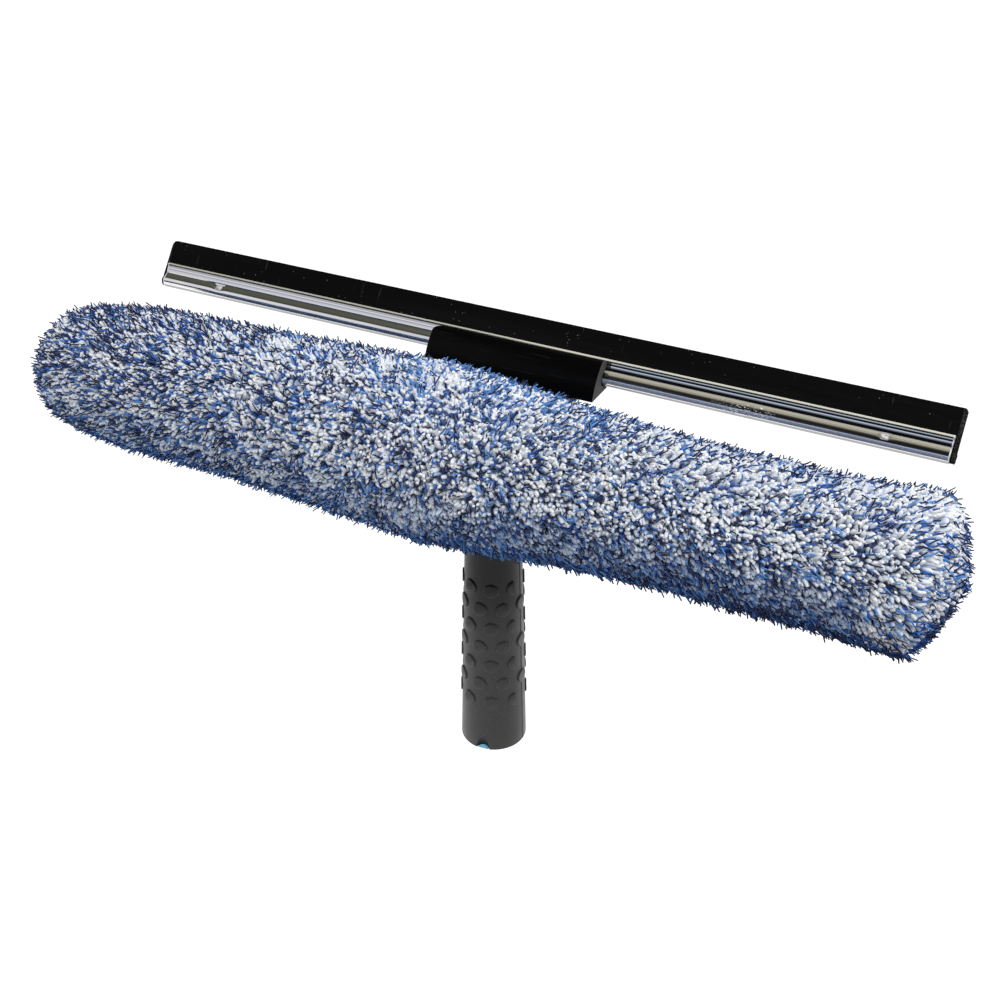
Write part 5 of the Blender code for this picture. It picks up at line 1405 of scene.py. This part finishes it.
def make_pile(ground):
    """White tufts and blue strands, each yarn in sections along the sleeve."""
    # The white yarn darkens to a blue-grey towards its root: painted shade between the tufts.
    white = yarn_finish("white_yarn_looks", [
        (0.0, paint(158, 172, 204)), (0.45, paint(214, 221, 233)), (0.8, paint(236, 240, 244)),
        (1.0, paint(244, 246, 247))],
        paint(226, 231, 239), paint(206, 217, 236), 0.25, 900, glow=0.5, painted_low_shade=0.5)
    blue = yarn_finish("blue_yarn_looks", [
        (0.0, paint(20, 66, 150)), (0.35, paint(30, 94, 188)), (0.64, paint(44, 118, 214)),
        (0.80, paint(26, 74, 160)), (0.91, paint(10, 32, 86)), (1.0, paint(5, 15, 46))],
        paint(110, 168, 234), paint(7, 22, 62), 0.40, 2600)
    yarns = (
        ("white", white, {}),
        ("blue", blue, {"Spacing": 0.00118, "Height": PILE_DEPTH * 1.04, "Sweep": 0.0056,
                        "Arch": 0.5, "Uneven": 0.18, "Hills": 0.10, "Recede": 0.0,
                        "Clump_Pull": -0.06, "Valleys": 1.0, "Comb": 1.9, "Drift": 0.45,
                        "Jitter": 0.40, "Curl": 0.0014, "Radius": 0.00046, "Swell": 0.0,
                        "Taper": 0.35, "Segments": 4, "Sides": 4, "Painted Light": 0.28,
                        "Painted Shade": 0.15, "Seed": 11}),
    )
    edges = [mix(-SLEEVE_HALF, SLEEVE_HALF, i / PILE_SECTIONS) for i in range(PILE_SECTIONS + 1)]
    edges[0] -= SLEEVE_HALF
    edges[-1] += SLEEVE_HALF
    for word, material, sizes in yarns:
        recipe, tufts = pile_recipe()
        recipe.finish(tufts, material)
        for index in range(PILE_SECTIONS):
            made = recipe.run(ground, Low=edges[index], High=edges[index + 1], **sizes)
            piece(f"pile_{word}_{index + 1}", made, material, "handle")


def on_cloth(z, lift):
    """A point (y, z) that lies lift outside the cloth's back, at one height."""
    height = BAR_HALF_HEIGHT + SEAT_GAP + CLOTH + lift
    return ((BAR_HALF_DEPTH + SEAT_GAP + CLOTH + lift) * math.sqrt(1 - (z / height) ** 2), z)


def make_closure():
    """Two cloth tabs over hook tape, one each side of the arm, with sewn upper edges."""
    webbing = weave_finish("webbing_looks", paint(12, 20, 46), paint(58, 74, 122), 320)
    hook = weave_finish("hook_looks", paint(12, 12, 16), paint(48, 50, 58), 520)
    lift = 2 * SEAT_GAP + PATCH_THICKNESS
    low, high = -CLOSURE_HALF_HEIGHT + CLOTH, CLOSURE_HALF_HEIGHT
    step = low + PATCH_HEIGHT
    for side, word in SIDES:
        start = min(side * CLOSURE_START, side * (CLOSURE_START + CLOSURE_LENGTH))
        stations = spaced(start, start + CLOSURE_LENGTH, 0.001)
        under = [on_cloth(mix(low, step, i / 10), lift) for i in range(11)]
        sewn = [on_cloth(mix(step + CLOTH, high, i / 10), SEAT_GAP) for i in range(11)]
        over = [on_cloth(mix(high, low, i / 24), lift + TAB_THICKNESS) for i in range(25)]

        def soft(point):
            x, y, z = point
            puff = TAB_PUFF * noise.noise(Vector((x * 220, z * 220, side)))
            return (x, y + puff, z)

        tab = holder("tab", strip("tab", under + sewn + over, stations, soft))
        mesh = bevelled(tab, TAB_EDGE, 2, 50)
        mesh.shade_smooth()
        mesh.transform(BAR_PLACE)
        piece(f"tab_{word}", mesh, webbing, "handle", [f"closure_tab_{word}"])
        bottom = -CLOSURE_HALF_HEIGHT
        heights = [mix(bottom, bottom + PATCH_HEIGHT, i / 12) for i in range(13)]
        band = [on_cloth(z, SEAT_GAP) for z in heights]
        band += [on_cloth(z, SEAT_GAP + PATCH_THICKNESS) for z in reversed(heights)]
        mesh = strip("patch", band, stations)
        mesh.transform(BAR_PLACE)
        piece(f"hook_{word}", mesh, hook, "handle", [f"hook_patch_{word}"])


def make_stage():
    """A pale floor well below the tool, which keeps its shadow and is white where it is lit."""
    bm = bmesh.new()
    bmesh.ops.create_grid(bm, x_segments=1, y_segments=1, size=FLOOR_SIZE / 2,
                          matrix=Matrix.Translation((0.0, 0.0, FLOOR_Z)))
    floor = holder("floor", plain_mesh("floor", bm))
    look = Finish("floor_looks", Roughness=0.9, Specular_IOR_Level=0.1, Base_Color=grey(176))
    seen = look.add("ShaderNodeLightPath", out="Is Camera Ray")
    white = seen + seen.beside("Is Glossy Ray") + seen.beside("Is Transmission Ray")
    glow = look.add("ShaderNodeEmission", {"Color": grey(255), "Strength": FLOOR_GLOW})
    plain = Flow(look.tree, look.shader.outputs[0])
    both = look.add("ShaderNodeAddShader", {0: plain, 1: glow})
    choice = look.add("ShaderNodeMixShader", {0: white, 1: plain, 2: both})
    plug(look.tree, choice, look.tree.nodes["Material Output"].inputs["Surface"])
    floor.data.materials.append(look.material)


def make_light():
    """Even light all round, a studio seen only in what shines, a broad lamp and a weak one."""
    world = bpy.data.worlds.new("studio")
    bpy.context.scene.world = world
    world.use_nodes = True
    sky = Graph(world.node_tree)
    sky.tree.nodes.clear()
    x, y, z = sky.parts(sky.add("ShaderNodeTexCoord", out="Generated"))
    turn = z.math("ARCTAN2", z, 0 - y) / FULL_TURN + 0.5

    def ramp(*stops):
        """Bands of light by the angle from straight ahead, up over the top and down behind."""
        return sky.add("ShaderNodeValToRGB", {"Fac": turn}, stops=[
            (0.5 + degrees / 360, color) for degrees, color in stops])

    black = grey(10)
    left = ramp((-14, grey(226)), (-9, black), (13, black), (17, paint(228, 228, 240)),
                (38, paint(228, 229, 237)), (47, paint(240, 241, 243)), (57, paint(234, 235, 236)),
                (63, paint(160, 160, 157)), (70, paint(52, 52, 46)), (80, paint(52, 52, 46)),
                (95, paint(92, 93, 81)), (114, paint(74, 75, 64)), (124, paint(60, 60, 52)),
                (140, paint(120, 120, 112)), (165, paint(206, 204, 194)), (180, grey(226)))
    right = ramp((-14, grey(226)), (-9, black), (14, black), (17, paint(196, 210, 222)),
                 (22, paint(190, 205, 220)), (25, black), (31, black), (33, paint(206, 216, 238)),
                 (43, paint(206, 216, 238)), (46, paint(36, 39, 38)), (64, paint(60, 59, 53)),
                 (79, paint(80, 77, 67)), (94, paint(136, 132, 118)), (106, paint(184, 180, 165)),
                 (119, paint(198, 195, 183)), (150, paint(190, 187, 178)),
                 (165, paint(214, 212, 204)), (180, grey(226)))
    shine = sky.mix(sky.within(x, -0.43, -0.37), left, right)
    glossy = sky.add("ShaderNodeLightPath", out="Is Glossy Ray")
    plain = sky.mix(glossy, grey(180), shine)
    color = sky.mix(glossy.beside("Is Camera Ray"), plain, grey(255))
    glow = sky.add("ShaderNodeBackground", {"Color": color, "Strength": 1.0})
    end = sky.tree.nodes.new("ShaderNodeOutputWorld")
    plug(sky.tree, glow, end.inputs["Surface"])

    for name, place, aim, size, power in (
            ("softbox", (0.55, -0.30, 1.2), (0.0, 0.0, 0.18), (1.0, 0.8), 12.0),
            ("fill", (-0.45, -0.45, 0.0), (-0.18, -0.06, 0.19), (0.35, 0.35), 0.8)):
        lamp = bpy.data.lights.new(name, "AREA")
        lamp.shape = "RECTANGLE"
        lamp.size, lamp.size_y = size
        lamp.energy = power
        light = holder(name, lamp)
        light.visible_camera = False
        light.visible_glossy = False
        light.location = place
        light.rotation_euler = (Vector(aim) - Vector(place)).to_track_quat("-Z", "Y").to_euler()


def make_camera():
    lens = bpy.data.cameras.new("camera")
    lens.lens = CAMERA_LENS
    lens.sensor_width = CAMERA_SENSOR
    lens.clip_start = 0.01
    camera = holder("camera", lens)
    camera.location = CAMERA_PLACE
    camera.rotation_euler = CAMERA_TURN
    bpy.context.scene.camera = camera


def dress_nodes(materials):
    """Gives the solids that stay as they are their finishes."""
    for node, material in materials.items():
        data = frame["nodes"][node]
        if not data.material_slots:
            data.data.materials.append(material)
        for slot in data.material_slots:
            slot.material = material


def build():
    make_camera()
    make_light()
    make_stage()

    make_grip()
    head = head_finish()
    steel = steel_finish("pin_steel_looks", 190, 2600, 0.18)
    gloss = gloss_finish("lever_plastic_looks")
    rubber = rubber_finish()
    bar = bar_finish()
    moulded("head_shell", "head", head, 0.00055, 5)
    make_insert()
    dressed("lever_shell", "release_lever", gloss, 0.0004, 3)
    dressed("jaw_strip", "jaw_pad", rubber, 0.0002, 2)
    dressed("lever_axle", "lever_pin", steel, 0.0003, 3)
    dressed("axle_ring", "pin_ring", steel, 0.00015, 2)
    dressed("neck_bolt", "neck_pin", steel, 0.0003, 3)
    make_spring(steel)
    make_screws(steel)
    make_clip()
    make_channel()
    make_rubber()
    dress_nodes({"handle_core": head, "t_bar": bar, "bar_cap_left": bar, "bar_cap_right": bar})

    ground = make_sleeve_cloth()
    make_closure()
    make_pile(ground)
    bpy.data.meshes.remove(ground)


build()
scene = bpy.context.scene
scene.view_settings.view_transform = "Standard"
